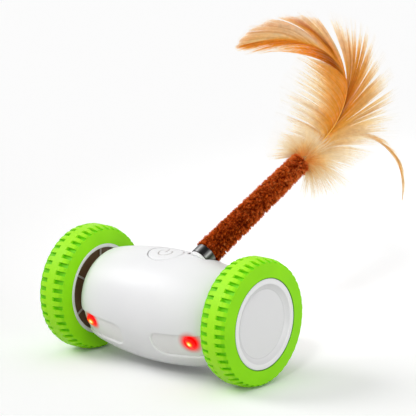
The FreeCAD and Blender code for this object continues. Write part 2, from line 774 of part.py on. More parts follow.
def gear_wire(teeth, module, phase, start):
    """Outline of a spur gear whose tooth number 0 points at the angle phase, in radians."""
    pitch = module * teeth / 2
    points = []
    root_half, pitch_half, tip_half = 0.30, 0.215, 0.10
    for tooth in range(teeth):
        middle = phase + 2 * math.pi * tooth / teeth
        root, tip = pitch - 1.15 * module, pitch + 0.9 * module
        for radius, half in ((root, -root_half), (pitch, -pitch_half), (tip, -tip_half),
                             (tip, tip_half), (pitch, pitch_half), (root, root_half)):
            angle = middle + half * 2 * math.pi / teeth
            points.append(Vector(start, radius * math.cos(angle), radius * math.sin(angle)))
    return Part.makePolygon(points + points[:1])


def gear_solid(teeth, module, phase, start, length, bore):
    wheel = Part.Face(gear_wire(teeth, module, phase, start)).extrude(Vector(length, 0, 0))
    hole = Part.makeCylinder(bore, length + 2, Vector(start - 1, 0, 0), Vector(1, 0, 0))
    return wheel.cut(hole)


def solid_piece(label, shape, y, z):
    node = doc.addObject("Part::Feature", label)
    node.Shape = shape
    node.Placement = Placement(Vector(0, y, z), Rotation())
    return finished(label, node)


def gear_phases():
    """Phases that put a tooth of one gear into a gap of the next at both meshes."""
    to_axle = math.atan2(AXLE.number - GEAR_Z, -GEAR_Y)
    to_motor = math.atan2(float(sheet.get("motor_z")) - GEAR_Z, float(sheet.get("motor_y")) - GEAR_Y)
    output_teeth = int(sheet.get("output_teeth"))
    pinion_teeth = int(sheet.get("pinion_teeth"))
    small = to_axle
    output = to_axle + math.pi + math.pi / output_teeth
    large = to_motor
    pinion = to_motor + math.pi + math.pi / pinion_teeth
    return output, small, large, pinion


def build_drive(side, word):
    module = float(sheet.get("gear_module"))
    output_phase, small_phase, large_phase, pinion_phase = gear_phases()
    motor_y, motor_z = cell("motor_y"), cell("motor_z")
    plate, cover = cell("plate_face"), cell("cover_face")
    shaft = cell("shaft_radius")

    def along(near, length):
        return near if side > 0 else -near - length

    pinion = gear_solid(int(sheet.get("pinion_teeth")), module, pinion_phase, along(29.0, 3.6), 3.6, 0.74)
    solid_piece(word + "_motor_pinion", pinion, motor_y.number, motor_z.number)
    large = gear_solid(int(sheet.get("large_teeth")), module, large_phase, along(29.4, 2.4), 2.4, 0.78)
    small = gear_solid(int(sheet.get("small_teeth")), module, small_phase, along(31.8, 4.6), 4.6, 0.78)
    solid_piece(word + "_reduction_gear", large.fuse(small).removeSplitter(), GEAR_Y, GEAR_Z)
    output_teeth = int(sheet.get("output_teeth"))
    output = gear_solid(output_teeth, module, output_phase, along(32.4, 3.4), 3.4, shaft.number)
    solid_piece(word + "_output_gear", output, 0.0, AXLE.number)

    can = rod(word + "_can_round", cell("motor_radius"), side, cell("motor_inner"),
              cell("motor_inner") + cell("motor_length"), motor_y, motor_z)
    start, length = span(side, cell("motor_inner"), cell("motor_inner") + cell("motor_length"))
    flats = block(word + "_can_flats", length, cell("motor_radius") * 2, cell("motor_flat") * 2, start,
                  motor_y - cell("motor_radius"), motor_z - cell("motor_flat"))
    nose = rod(word + "_can_nose", 2.4, side, cell("motor_inner") + cell("motor_length"),
               cell("motor_inner") + cell("motor_length") + 0.9, motor_y, motor_z)
    bore = rod(word + "_can_bore", 0.8, side, cell("motor_inner") + 2, cell("motor_inner") + 20,
               motor_y, motor_z)
    finished(word + "_motor", cut(word + "_motor", joined(
        word + "_can", common(word + "_can_body", can, flats), nose), bore))
    finished(word + "_motor_shaft", rod(word + "_motor_shaft", 0.74, side, cell("motor_inner") + 2.5,
                                        33.4, motor_y, motor_z))

    build_gear_plate(side, word, plate, cover)
    pin = rod(word + "_gear_pin", 0.75, side, plate, cover + cell("cover_thick"), GEAR_Y, GEAR_Z)
    finished(word + "_gear_pin", pin)
    finished(word + "_wheel_shaft", wheel_shaft(side, word))
    plate_back, end = plate + cell("plate_thick"), cell("barrel_half")
    for place_word, near, far, flange in (("inner", plate, plate_back, plate_back + 1.0),
                                          ("outer", end - cell("wall"), end, end + 0.5)):
        name = f"{word}_{place_word}_bush"
        sleeve = rod(name + "_sleeve", cell("shaft_hole") - 0.02, side, near, far)
        lip = rod(name + "_lip", cell("shaft_hole") + 0.8, side, far, flange)
        hole = rod(name + "_bore", shaft + 0.05, side, 20, 60)
        finished(name, cut(name, joined(name + "_blank", sleeve, lip), hole))


def build_gear_plate(side, word, plate, cover):
    """The plate that the motor and gears are set in, with its three spacer posts, and its cover."""
    holes = []
    plate_edge = [(-11.0, 41.0), (9.0, 41.0), (16.4, 33.6), (16.4, 18.0),
                  (9.5, 9.4), (-3.5, 8.8), (-11.0, 24.0)]
    cover_edge = [(-10.6, 40.6), (7.0, 40.6), (16.2, 33.4), (16.2, 28.6),
                  (10.0, 17.5), (-5.6, 17.5), (-10.6, 24.0)]
    panels = []
    for name, face, depth, edge in (("plate", plate, cell("plate_thick"), plate_edge),
                                    ("cover", cover, cell("cover_thick"), cover_edge)):
        body = new_body(f"{word}_{name}_panel")
        lift, _ = span(side, face, face + depth)
        sketch = new_sketch(body, "YZ_Plane", lift)
        outline(sketch, edge)
        pad(body, sketch, depth)
        panels.append(body)
    posts = []
    for number, (y, z) in enumerate(POSTS, start=1):
        posts.append(rod(f"{word}_post_{number}", 1.6, side, plate + cell("plate_thick"), cover, y, z))
        holes.append(rod(f"{word}_post_bore_{number}", 0.8, side, plate + 5, cover + 3, y, z))
    plate_holes = [rod(word + "_plate_nose", 2.5, side, plate - 1, plate + 4,
                       cell("motor_y"), cell("motor_z")),
                   rod(word + "_plate_pin", 0.76, side, plate - 1, plate + 4, GEAR_Y, GEAR_Z),
                   rod(word + "_plate_bush", cell("shaft_hole"), side, plate - 1, plate + 4)]
    finished(word + "_gear_plate", cut(word + "_gear_plate", joined(word + "_plate_solid", panels[0], *posts),
                                       *plate_holes, *holes))
    cover_holes = [rod(word + "_cover_pin", 0.76, side, cover - 1, cover + 4, GEAR_Y, GEAR_Z),
                   rod(word + "_cover_shaft", cell("shaft_radius") + 0.4, side, cover - 1, cover + 4)]
    cover_holes += [rod(f"{word}_cover_bore_{number}", 0.9, side, cover - 1, cover + 4, y, z)
                    for number, (y, z) in enumerate(POSTS, start=1)]
    finished(word + "_gear_cover", cut(word + "_gear_cover", panels[1], *cover_holes))
    screws = []
    for number, (y, z) in enumerate(POSTS, start=1):
        screws.append(joined(f"{word}_gear_screw_{number}",
                             rod(f"{word}_gear_shank_{number}", 0.78, side, cover - 5,
                                 cover + cell("cover_thick"), y, z),
                             rod(f"{word}_gear_head_{number}", 1.5, side, cover + cell("cover_thick"),
                                 cover + cell("cover_thick") + 0.9, y, z)))
    group = doc.addObject("Part::Compound", word + "_gear_screws")
    group.Links = screws
    finished(word + "_gear_screws", group)


POSTS = ((-8.6, 38.6), (14.2, 31.2), (-3.6, 21.4))


def wheel_shaft(side, word):
    """Steel shaft with a flat where the wheel's boss drives on it."""
    shaft = rod(word + "_shaft_round", cell("shaft_radius"), side, cell("plate_face") - 1.5,
                cell("shaft_end"))
    start, length = span(side, cell("wheel_boss_face"), cell("shaft_end") + 1)
    flat = block(word + "_shaft_flat", length, 4, 4, start, -2, AXLE + cell("shaft_flat"))
    return cut(word + "_shaft_cut", shaft, flat)


# Wheels


def build_wheel(side, word):
    build_tyre(side, word)
    ring, thick, wall = cell("ring_face"), cell("ring_thick"), cell("rim_wall")
    drum = cell("tyre_bore")
    hub = cell("hub_face") - cell("hub_flange")
    rim = turned(word + "_rim", sided(side, [
        (ring, drum - wall), (hub, drum - wall), (hub, drum), (ring + thick, drum),
        (ring + thick, cell("ring_radius")), (ring, cell("ring_radius"))]))
    place(rim, 0, 0, AXLE)
    finished(word + "_rim", rim)
    build_spider(side, word, drum - wall)
    build_hub_cap(side, word, drum - wall)
    build_wheel_screw(side, word)


def build_tyre(side, word):
    """Crowned tread between flat side walls, with two rows of pits beside the plain centre rib."""
    centre, half, bore = cell("tyre_centre"), cell("tyre_half"), cell("tyre_bore")
    crown = cell("tread_crown_half")
    edge, top = cell("tread_edge_radius"), cell("tyre_radius")
    inner = cell("ring_face") + cell("ring_thick")
    outer = cell("hub_face") - cell("hub_flange")
    ring, hub = cell("ring_radius"), cell("hub_radius") + cell("fit_gap")
    round_off = 1.0
    blank = turned(word + "_tyre_blank", sided(side, [
        (inner, bore), (inner, ring), (cell("ring_face"), ring), (centre - half, edge - round_off),
        (centre - half + round_off, edge, round_off, -1), (centre - crown, top), (centre + crown, top),
        (centre + half - round_off, edge), (centre + half, edge - round_off, round_off, -1),
        (cell("hub_face"), hub), (outer, hub), (outer, bore)]))
    place(blank, 0, 0, AXLE)
    pits = doc.addObject("Part::Feature", word + "_tread_pits")
    pits.Shape = tread_pits(side)
    pits.Placement = Placement(Vector(0, 0, AXLE.number), Rotation())
    finished(word + "_tyre", cut(word + "_tyre", blank, pits))


def tread_pits(side):
    """Boxes for both rows of tread pits, placed round the tyre."""
    count = int(sheet.get("pit_count"))
    width = float(sheet.get("pit_width"))
    floor = AXLE.number - float(sheet.get("pit_depth"))
    centre, half, rib = (cell(alias).number for alias in ("tyre_centre", "tyre_half", "tread_rib_half"))
    boxes = []
    for near, far in ((centre - half - 0.3, centre - rib), (centre + rib, centre + half + 0.3)):
        start = near if side > 0 else -far
        pit = Part.makeBox(far - near, width, 4.0, Vector(start, -width / 2, floor))
        for number in range(count):
            turned_pit = pit.copy()
            turned_pit.rotate(Vector(0, 0, 0), Vector(1, 0, 0), 360.0 * number / count)
            boxes.append(turned_pit)
    return Part.makeCompound(boxes)


def build_spider(side, word, radius):
    """Disc with raised radial ribs just inside the rim's ring, and a boss that takes the shaft."""
    web, thick = cell("web_face"), cell("web_thick")
    boss, boss_face, boss_end = cell("wheel_boss"), cell("wheel_boss_face"), cell("wheel_boss_end")
    fitted = radius - cell("fit_gap")
    disc = turned(word + "_web", sided(side, [
        (boss_face, 0.5), (boss_end, 0.5), (boss_end, boss), (web + thick, boss), (web + thick, fitted),
        (web, fitted), (web, boss), (boss_face, boss)]))
    place(disc, 0, 0, AXLE)
    ribs = []
    start, length = span(side, cell("wheel_rib_face"), web + 0.2)
    for number in range(6):
        angle = 30 + 60 * number
        rib = doc.addObject("Part::Box", f"{word}_rib_{number}")
        bind(rib, "Length", length)
        bind(rib, "Width", fitted - cell("fit_gap") - boss + 0.6)
        bind(rib, "Height", cell("wheel_rib_thick"))
        turn = Rotation(Vector(1, 0, 0), angle)
        offset = turn.multVec(Vector(0, boss.number - 0.6, -cell("wheel_rib_thick").number / 2))
        place(rib, start, offset.y, AXLE + offset.z, turn)
        ribs.append(rib)
    bore = rod(word + "_spider_bore", cell("shaft_radius"), side, boss_face - 1, cell("shaft_end"))
    start, length = span(side, boss_face - 1, cell("shaft_end"))
    key = block(word + "_spider_key", length, 4, 4, start, -2, AXLE + cell("shaft_flat"))
    hole = cut(word + "_spider_hole", bore, key)
    finished(word + "_wheel_web", cut(word + "_wheel_web", joined(word + "_spider", disc, *ribs), hole))


def build_hub_cap(side, word, bore):
    """Dished cap that closes the outer face of the wheel and snaps into the rim's drum."""
    face, flange = cell("hub_face"), cell("hub_flange")
    depth, dish = cell("hub_dish_depth"), cell("hub_dish")
    land, edge = cell("hub_land"), cell("hub_radius")
    skirt = bore - cell("fit_gap")
    cap = turned(word + "_hub_cap", sided(side, [
        (face - depth, 0), (face - depth, dish), (face, land), (face, edge - 0.4), (face - 0.4, edge),
        (face - flange, edge), (face - flange, skirt), (face - flange - 1.6, skirt),
        (face - flange - 1.6, skirt - 1.2), (face - flange - depth, dish), (face - flange - depth, 0)]))
    place(cap, 0, 0, AXLE)
    finished(word + "_hub_cap", cap)


def build_wheel_screw(side, word):
    """Screw through the web into the end of the shaft, hidden under the hub cap."""
    end = cell("wheel_boss_end")
    shank = rod(word + "_screw_shank", 0.5, side, cell("shaft_end") + 0.02, end)
    head = rod(word + "_screw_head", 2.2, side, end, end + 0.9)
    finished(word + "_wheel_screw", joined(word + "_wheel_screw", shank, head))


# Tail


def build_tail():
    floor = -cell("pocket_floor")
    gap = 0.35
    collar = tail_rod("collar", cell("collar_radius"), floor, -gap)
    sleeve = tail_rod("socket_sleeve", cell("socket_radius"), floor - cell("socket_depth"), floor)
    bore = tail_rod("socket_bore_tool", cell("socket_bore"), floor - cell("socket_depth") + 1.2, 2)
    finished("tail_socket", cut("tail_socket", joined("socket_blank", collar, sleeve), bore))

    plug_tip = floor - cell("socket_depth") + 1.6
    plug = tail_rod("plug_pin", cell("plug_radius"), plug_tip, 0)
    disc = tail_rod("plug_disc", cell("ferrule_bore") - 0.02, 0, 1.2)
    seat = tail_rod("plug_seat", cell("stick_radius"), -6, 3)
    finished("tail_plug", cut("tail_plug", joined("plug_blank", plug, disc), seat))

    length = cell("ferrule_length")
    band = turned("tail_ferrule", [(0, cell("ferrule_bore")), (length, cell("ferrule_bore")),
                                   (length, cell("ferrule_radius") - 0.35),
                                   (length - 0.35, cell("ferrule_radius")),
                                   (0.25, cell("ferrule_radius")), (0, cell("ferrule_radius") - 0.25)])
    finished("tail_ferrule", on_tail(band, 0))
    finished("tail_stick", tail_rod("tail_stick", cell("stick_radius"), -5.98, cell("plush_length") + 1.0))

    reach = cell("plush_length") - 1.25
    root = cell("ferrule_bore") - 0.02
    in_band = length - 1.25
    bore_r = cell("stick_radius") + 0.02
    plush = turned("plush_sleeve", [(0, bore_r), (0, root), (in_band, root),
                                    (in_band + 0.1, cell("plush_start")),
                                    (reach - 3, cell("plush_end")), (reach, cell("plush_end") - 2.4, 3.6, -1),
                                    (reach, bore_r)])
    finished("plush_sleeve", on_tail(plush, 1.25))

    binding = turned("feather_binding", [(0, cell("stick_radius") + 0.02), (0, cell("binding_radius") - 0.4),
                                         (0.5, cell("binding_radius")),
                                         (cell("binding_length") - 0.5, cell("binding_radius")),
                                         (cell("binding_length"), cell("binding_radius") - 0.6),
                                         (cell("binding_length"), 0), (1.0, 0),
                                         (1.0, cell("stick_radius") + 0.02)])
    finished("feather_binding", on_tail(binding, cell("plush_length")))
    build_feathers()


PLUME_EDGE = [(3.5, -2.0), (20.0, -17.0), (40.0, -18.0), (60.0, -12.0), (74.0, 4.0), (78.0, 20.0),
              (75.0, 38.0), (65.0, 50.0), (48.0, 61.5), (32.0, 66.0), (17.6, 65.5), (30.0, 55.5),
              (40.0, 44.0), (36.0, 37.0), (24.0, 33.0), (12.0, 26.0), (2.0, 20.0), (-7.0, 14.0),
              (-2.0, 6.4), (3.5, 2.0)]
CURL_SPINE = [(3.2, -2.4), (22.2, -2.6), (33.2, -10.2), (40.5, -21.6), (40.7, -30.4), (36.7, -38.4),
              (26.3, -50.0)]
CURL_WIDTH = [1.0, 4.0, 7.0, 7.5, 6.0, 4.0, 0.6]
SIDEWAYS = Vector(-0.64112, -0.31416, 0.70019)


def feather_point(reach, height, off=0.0):
    """A point of the feathers' plane; reach runs on along the tail, height is square to it."""
    end = Vector(*(size.number for size in TAIL_FOOT)) + TAIL * float(sheet.get("plush_length"))
    return end + TAIL * reach + SIDEWAYS * height + SIDEWAYS.cross(TAIL) * off


def vane(points, off):
    """A thin plate with a smooth outline in the feathers' plane."""
    thick = float(sheet.get("vane_thick"))
    low = off - thick / 2
    edge = Part.BSplineCurve()
    edge.interpolate([feather_point(reach, height, low) for reach, height in points[:-1]], PeriodicFlag=False)
    closing = Part.LineSegment(edge.EndPoint, edge.StartPoint)
    face = Part.Face(Part.Wire([edge.toShape(), closing.toShape()]))
    return face.extrude(SIDEWAYS.cross(TAIL) * thick)


def build_feathers():
    """The two feathers, cut back where the thread binding holds their quills."""
    for label, points, off in (("plume_feather", PLUME_EDGE, 0.0), ("curled_feather", curl_edge(), 3.0)):
        blank = doc.addObject("Part::Feature", label + "_blank")
        blank.Shape = vane(points, off)
        room = tail_rod(label + "_room", cell("binding_radius") + 0.02, cell("plush_length") - 1,
                        cell("plush_length") + cell("binding_length") + 0.02)
        finished(label, cut(label, blank, room))


def curl_edge():
    """Outline of the curled feather: its spine, widened to both sides."""
    left, right = [], []
    for index, ((reach, height), width) in enumerate(zip(CURL_SPINE, CURL_WIDTH)):
        before = CURL_SPINE[max(index - 1, 0)]
        after = CURL_SPINE[min(index + 1, len(CURL_SPINE) - 1)]
        run = math.hypot(after[0] - before[0], after[1] - before[1])
        normal = (-(after[1] - before[1]) / run, (after[0] - before[0]) / run)
        left.append((reach + normal[0] * width / 2, height + normal[1] * width / 2))
        right.append((reach - normal[0] * width / 2, height - normal[1] * width / 2))
    return left + right[::-1]


build_shells()
build_screws()
build_windows()
build_eyes()
build_button()
build_electronics()
for drive_side, drive_word in ((1, "left"), (-1, "right")):
    build_drive(drive_side, drive_word)
    build_wheel(drive_side, drive_word)
build_tail()

doc.recompute()
for node in doc.Objects:
    if "Invalid" in node.State or "Error" in node.State:
        raise SystemExit(f"{node.Name} failed: {node.State}")
os.makedirs("parts", exist_ok=True)
for node in parts:
    shape = node.Shape
    if shape.isNull() or not shape.isValid() or not shape.Solids:
        raise SystemExit(f"{node.Label} has no valid solid")
    shape.exportStep(f"parts/{node.Label}.step")
    print(node.Label, "solids", len(shape.Solids), "volume", round(shape.Volume, 1))
print(len(parts), "pieces")
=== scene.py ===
"""Looks of the rolling cat toy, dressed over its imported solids.

Shapes are in millimetres of the toy's own frame and turn into metres where a mesh is made.
Distances inside a material are in metres.
"""

import json
import math
import random

import bpy
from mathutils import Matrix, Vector, noise


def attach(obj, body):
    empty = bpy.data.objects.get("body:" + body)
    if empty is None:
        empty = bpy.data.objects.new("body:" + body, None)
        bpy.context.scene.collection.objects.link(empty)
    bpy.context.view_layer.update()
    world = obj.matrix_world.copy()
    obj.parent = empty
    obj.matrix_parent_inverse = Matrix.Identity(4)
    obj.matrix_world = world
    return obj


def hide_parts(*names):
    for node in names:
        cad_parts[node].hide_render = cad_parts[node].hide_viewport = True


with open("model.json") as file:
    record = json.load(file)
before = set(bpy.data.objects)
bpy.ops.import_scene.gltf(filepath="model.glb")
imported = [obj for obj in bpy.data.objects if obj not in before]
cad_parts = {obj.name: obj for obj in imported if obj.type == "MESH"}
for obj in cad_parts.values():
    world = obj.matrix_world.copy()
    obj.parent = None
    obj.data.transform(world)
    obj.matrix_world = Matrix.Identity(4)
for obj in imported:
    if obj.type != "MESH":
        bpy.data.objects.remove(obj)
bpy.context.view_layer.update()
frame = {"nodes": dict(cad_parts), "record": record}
nodes = frame["nodes"]
random.seed(11)

MM = 0.001
BARREL_Z = 30.85
BARREL_RADIUS = 28.5
BARREL_ARC = 152.0
AXLE = Vector((0, 0, 32))
ALONG_AXLE = Vector((1, 0, 0))
TYRE_RADIUS = 32.0
TYRE_CENTRE = 52.7


def srgb(red, green, blue):
    """A linear colour from the values that a screen shows."""
    def linear(value):
        value /= 255
        return value / 12.92 if value <= 0.04045 else ((value + 0.055) / 1.055) ** 2.4
    return (linear(red), linear(green), linear(blue), 1.0)


def grey(tone):
    return srgb(tone, tone, tone)


# Materials


class Shader:
    """A new material with a short way to add and join its nodes."""

    def __init__(self, name):
        self.material = bpy.data.materials.new(name)
        self.material.use_nodes = True
        self.tree = self.material.node_tree
        self.surface = self.tree.nodes["Principled BSDF"]
        self.place = self.add("ShaderNodeTexCoord").outputs["Object"]

    def add(self, kind, **settings):
        node = self.tree.nodes.new(kind)
        for key, value in settings.items():
            setattr(node, key, value)
        return node

    def link(self, source, target):
        self.tree.links.new(source, target)

    def set(self, **values):
        for key, value in values.items():
            self.surface.inputs[key.replace("_", " ")].default_value = value

    def noise(self, scale, detail=3.0, roughness=0.5, vector=None):
        node = self.add("ShaderNodeTexNoise")
        node.inputs["Scale"].default_value = scale
        node.inputs["Detail"].default_value = detail
        node.inputs["Roughness"].default_value = roughness
        self.link(vector or self.place, node.inputs["Vector"])
        return node.outputs["Fac"]

    def ramp(self, factor, *stops):
        """Colour stops (position, colour) along a factor."""
        node = self.add("ShaderNodeValToRGB")
        elements = node.color_ramp.elements
        elements[0].position, elements[0].color = stops[0]
        elements[1].position, elements[1].color = stops[-1]
        for position, colour in stops[1:-1]:
            elements.new(position).color = colour
        self.link(factor, node.inputs["Fac"])
        return node.outputs["Color"]

    def spread(self, factor, low, high):
        """A factor of 0 to 1 turned into low to high."""
        node = self.add("ShaderNodeMapRange")
        node.inputs["To Min"].default_value = low
        node.inputs["To Max"].default_value = high
        self.link(factor, node.inputs["Value"])
        return node.outputs["Result"]

    def step_up(self, value, low, high):
        """0 at low and before it, 1 at high and beyond it."""
        node = self.add("ShaderNodeMapRange")
        node.inputs["From Min"].default_value = low
        node.inputs["From Max"].default_value = high
        self.link(value, node.inputs["Value"])
        return node.outputs["Result"]

    def maths(self, operation, first, second=None):
        """A Math node whose second term is a node's output or a number."""
        node = self.add("ShaderNodeMath", operation=operation)
        self.link(first, node.inputs[0])
        if isinstance(second, float):
            node.inputs[1].default_value = second
        elif second is not None:
            self.link(second, node.inputs[1])
        return node.outputs[0]

    def mixed(self, factor, first, second, blend="MIX"):
        """A colour between two; each term is a node's output or a plain value."""
        node = self.add("ShaderNodeMix", data_type="RGBA", blend_type=blend)
        for socket, value in (("Factor", factor), ("A", first), ("B", second)):
            if isinstance(value, (float, tuple)):
                node.inputs[socket].default_value = value
            else:
                self.link(value, node.inputs[socket])
        return node.outputs["Result"]

    def paint(self, colour):
        self.link(colour, self.surface.inputs["Base Color"])

    def satin(self, middle):
        """Roughness that wanders a little to each side of a middle value."""
        rough = self.spread(self.noise(160.0, 4.0), middle - 0.05, middle + 0.05)
        self.link(rough, self.surface.inputs["Roughness"])

    def bump(self, height, strength, distance, edge=0.0):
        """Relief from a height, over normals that round the sharp edges off."""
        node = self.add("ShaderNodeBump")
        node.inputs["Strength"].default_value = strength
        node.inputs["Distance"].default_value = distance
        self.link(height, node.inputs["Height"])
        if edge:
            rounding = self.add("ShaderNodeBevel", samples=6)
            rounding.inputs["Radius"].default_value = edge
            self.link(rounding.outputs["Normal"], node.inputs["Normal"])
        self.link(node.outputs["Normal"], self.surface.inputs["Normal"])


def moulded(name, light, dark, roughness, edge=0.0004, grain=0.05):
    """Moulded plastic: faint clouding, a fine spark-eroded grain and softly rounded edges."""
    shader = Shader(name)
    cloud = shader.noise(28.0, 2.0)
    shader.paint(shader.ramp(cloud, (0.35, dark), (0.65, light)))
    shader.satin(roughness)
    shader.bump(shader.noise(2600.0, 2.0), grain, 0.00008, edge)
    return shader


def metal(name, colour, roughness, stretch=(1, 1, 1), grain=0.08):
    """Bare metal with fine lines that a stretched noise draws along it."""
    shader = Shader(name)
    shader.set(Base_Color=colour, Metallic=1.0)
    mapping = shader.add("ShaderNodeMapping")
    mapping.inputs["Scale"].default_value = stretch
    shader.link(shader.place, mapping.inputs["Vector"])
    lines = shader.noise(900.0, 4.0, 0.6, mapping.outputs["Vector"])
    shader.link(shader.spread(lines, roughness * 0.6, roughness * 1.4), shader.surface.inputs["Roughness"])
    shader.bump(lines, grain, 0.00005, 0.0002)
    return shader


TAIL_FOOT = Vector((15.75, 5.07, 56.22))
TAIL_YAW = math.radians(10)
TAIL_PITCH = math.radians(31)
TAIL = Vector((math.sin(TAIL_YAW) * math.cos(TAIL_PITCH), math.cos(TAIL_YAW) * math.cos(TAIL_PITCH),
               math.sin(TAIL_PITCH)))
PLUSH_LENGTH = 78.7
PLUSH_FOOT = 4.9
TAIL_END = TAIL_FOOT + TAIL * PLUSH_LENGTH
SIDEWAYS = Vector((-0.64112, -0.31416, 0.70019))
FACING = TAIL.cross(SIDEWAYS)

EYE_PLACE = 32.2
EYE_RISE = 2.3
WINDOW_ANGLE = math.radians(26.5)
OUTWARD = Vector((0, -math.cos(WINDOW_ANGLE), -math.sin(WINDOW_ANGLE)))
UPWARD = Vector((0, -math.sin(WINDOW_ANGLE), math.cos(WINDOW_ANGLE)))


def eye_centre(side, depth):
    """A point on an eye's own axis."""
    return (Vector((EYE_PLACE * side, 0, BARREL_Z)) + OUTWARD * depth + UPWARD * EYE_RISE) * MM


def off_axis(shader, point, way):
    """The vector from a line to the surface, square to that line, as a node's output."""
    apart = shader.add("ShaderNodeVectorMath", operation="SUBTRACT")
    apart.inputs[1].default_value = point
    shader.link(shader.place, apart.inputs[0])
    square = shader.add("ShaderNodeVectorMath", operation="CROSS_PRODUCT")
    square.inputs[1].default_value = way
    shader.link(apart.outputs["Vector"], square.inputs[0])
    return square.outputs["Vector"]


def distance_from(shader, point, way, reach):
    """0 on a line, 1 from reach onwards."""
    length = shader.add("ShaderNodeVectorMath", operation="LENGTH")
    shader.link(off_axis(shader, point, way), length.inputs[0])
    return shader.step_up(length.outputs["Value"], 0.0, reach)


def rubber():
    """Soft lime rubber in mottled greens, with painted light and shade: the tread is painted lighter than the
    side for the light that falls on it, and the pits and the side's inner edge by the rim are painted darker
    as shade.
    """
    shader = Shader("lime_rubber")
    radius = distance_from(shader, AXLE * MM, ALONG_AXLE, TYRE_RADIUS * MM)
    tone_factor = shader.noise(55.0, 3.0)
    side = shader.ramp(tone_factor, (0.3, srgb(144, 231, 6)), (0.7, srgb(154, 240, 12)))
    # painted light: the tread is lighter than the side because more light falls on it
    tread = shader.ramp(tone_factor, (0.3, srgb(164, 243, 26)), (0.7, srgb(176, 248, 38)))
    # painted shade in the tread's pits
    pit_painted_shade = shader.ramp(tone_factor, (0.3, srgb(118, 214, 10)), (0.7, srgb(128, 224, 16)))
    lit_tread_mask = shader.step_up(radius, 0.972, 0.982)
    place = shader.add("ShaderNodeSeparateXYZ")
    shader.link(shader.place, place.inputs[0])
    from_middle = shader.maths("ABSOLUTE", place.outputs["X"])
    from_centre = shader.maths("ABSOLUTE", shader.maths("SUBTRACT", from_middle, TYRE_CENTRE * MM))
    inside = shader.step_up(from_centre, 0.0074, 0.0071)
    pit_shade_mask = shader.maths("MULTIPLY", inside, shader.step_up(radius, 0.968, 0.955))
    # painted shade: a darker band on the side where the tyre meets the rim
    rim_edge_shade = shader.step_up(radius, 0.728, 0.718)
    side = shader.mixed(rim_edge_shade, side, srgb(70, 150, 4))
    shader.paint(shader.mixed(pit_shade_mask, shader.mixed(lit_tread_mask, side, tread), pit_painted_shade))
    shader.link(shader.spread(shader.noise(260.0, 5.0), 0.44, 0.58), shader.surface.inputs["Roughness"])
    shader.set(Specular_IOR_Level=0.2)
    shader.bump(shader.noise(1500.0, 3.0), 0.08, 0.0001, 0.0002)
    return shader


def dished_hub():
    """White hub plastic with painted light and shade by radius: lighter on its raised border, darker on the
    dish's slope, and a greenish painted shade at its outer edge by the tyre.
    """
    shader = Shader("white_hub_plastic")
    radius = distance_from(shader, AXLE * MM, ALONG_AXLE, 0.025)
    # painted light and shade: grey tones by radius over the dish, its slope and the border
    painted_light_tones = [(0.0, 240), (0.676, 240), (0.69, 222), (0.705, 233), (0.79, 226), (0.808, 252), (0.88, 249),
             (0.905, 250)]
    rings = shader.ramp(radius, *[(spot, grey(tone)) for spot, tone in painted_light_tones], (0.915, srgb(200, 204, 190)))
    cloud = shader.ramp(shader.noise(28.0, 2.0), (0.35, (0.98, 0.98, 0.985, 1)), (0.65, (1, 1, 1, 1)))
    shader.paint(shader.mixed(1.0, rings, cloud, "MULTIPLY"))
    shader.satin(0.36)
    shader.bump(shader.noise(2600.0, 2.0), 0.05, 0.00008, 0.0004)
    return shader


def painted_red_light(shader, colour, side, strength):
    """Painted red light from a lamp behind the plastic: a red tint on its colour and a glow, both fading with
    the distance.
    """
    near = distance_from(shader, eye_centre(side, 24.0), OUTWARD, 0.0075 if side > 0 else 0.0062)
    painted_red_tint = shader.ramp(near, (0.42, (0.75, 0.0, 0.0, 1)), (0.52, (0.85, 0.06, 0.05, 1)),
                        (0.64, (0.9, 0.34, 0.32, 1)), (0.8, (0.96, 0.76, 0.75, 1)), (0.96, (1, 1, 1, 1)))
    glow = shader.ramp(near, (0.42, (0.9 * strength, 0, 0, 1)), (0.52, (0.5 * strength, 0, 0, 1)),
                       (0.64, (0.16 * strength, 0, 0, 1)), (0.9, (0, 0, 0, 1)))
    return shader.mixed(1.0, colour, painted_red_tint, "MULTIPLY"), glow


def window_glow(side):
    """Frosted pad with painted red light and glow round its lamp behind it."""
    shader = Shader("frosted_pad_left" if side > 0 else "frosted_pad_right")
    frosted = shader.ramp(shader.noise(60.0, 2.0), (0.3, srgb(241, 240, 239)), (0.7, srgb(247, 246, 244)))
    colour, glow = painted_red_light(shader, frosted, side, 1.0)
    shader.paint(colour)
    shader.link(glow, shader.surface.inputs["Emission Color"])
    shader.set(Roughness=0.42, Emission_Strength=1.0)
    shader.bump(shader.noise(2200.0, 2.0), 0.06, 0.0001, 0.0003)
    return shader


def glowing_shell():
    """The white shell, whose wall has a painted red halo and glow round each lamp."""
    shader = Shader("white_shell_front")
    colour = shader.ramp(shader.noise(28.0, 2.0), (0.35, srgb(239, 239, 240)), (0.65, srgb(243, 243, 243)))
    glows = []
    for side in (1, -1):
        colour, glow = painted_red_light(shader, colour, side, 0.45)
        glows.append(glow)
    shader.paint(colour)
    shader.link(shader.mixed(1.0, glows[0], glows[1], "ADD"), shader.surface.inputs["Emission Color"])
    shader.set(Emission_Strength=1.0)
    shader.satin(0.36)
    shader.bump(shader.noise(2600.0, 2.0), 0.05, 0.00008, 0.0006)
    return shader


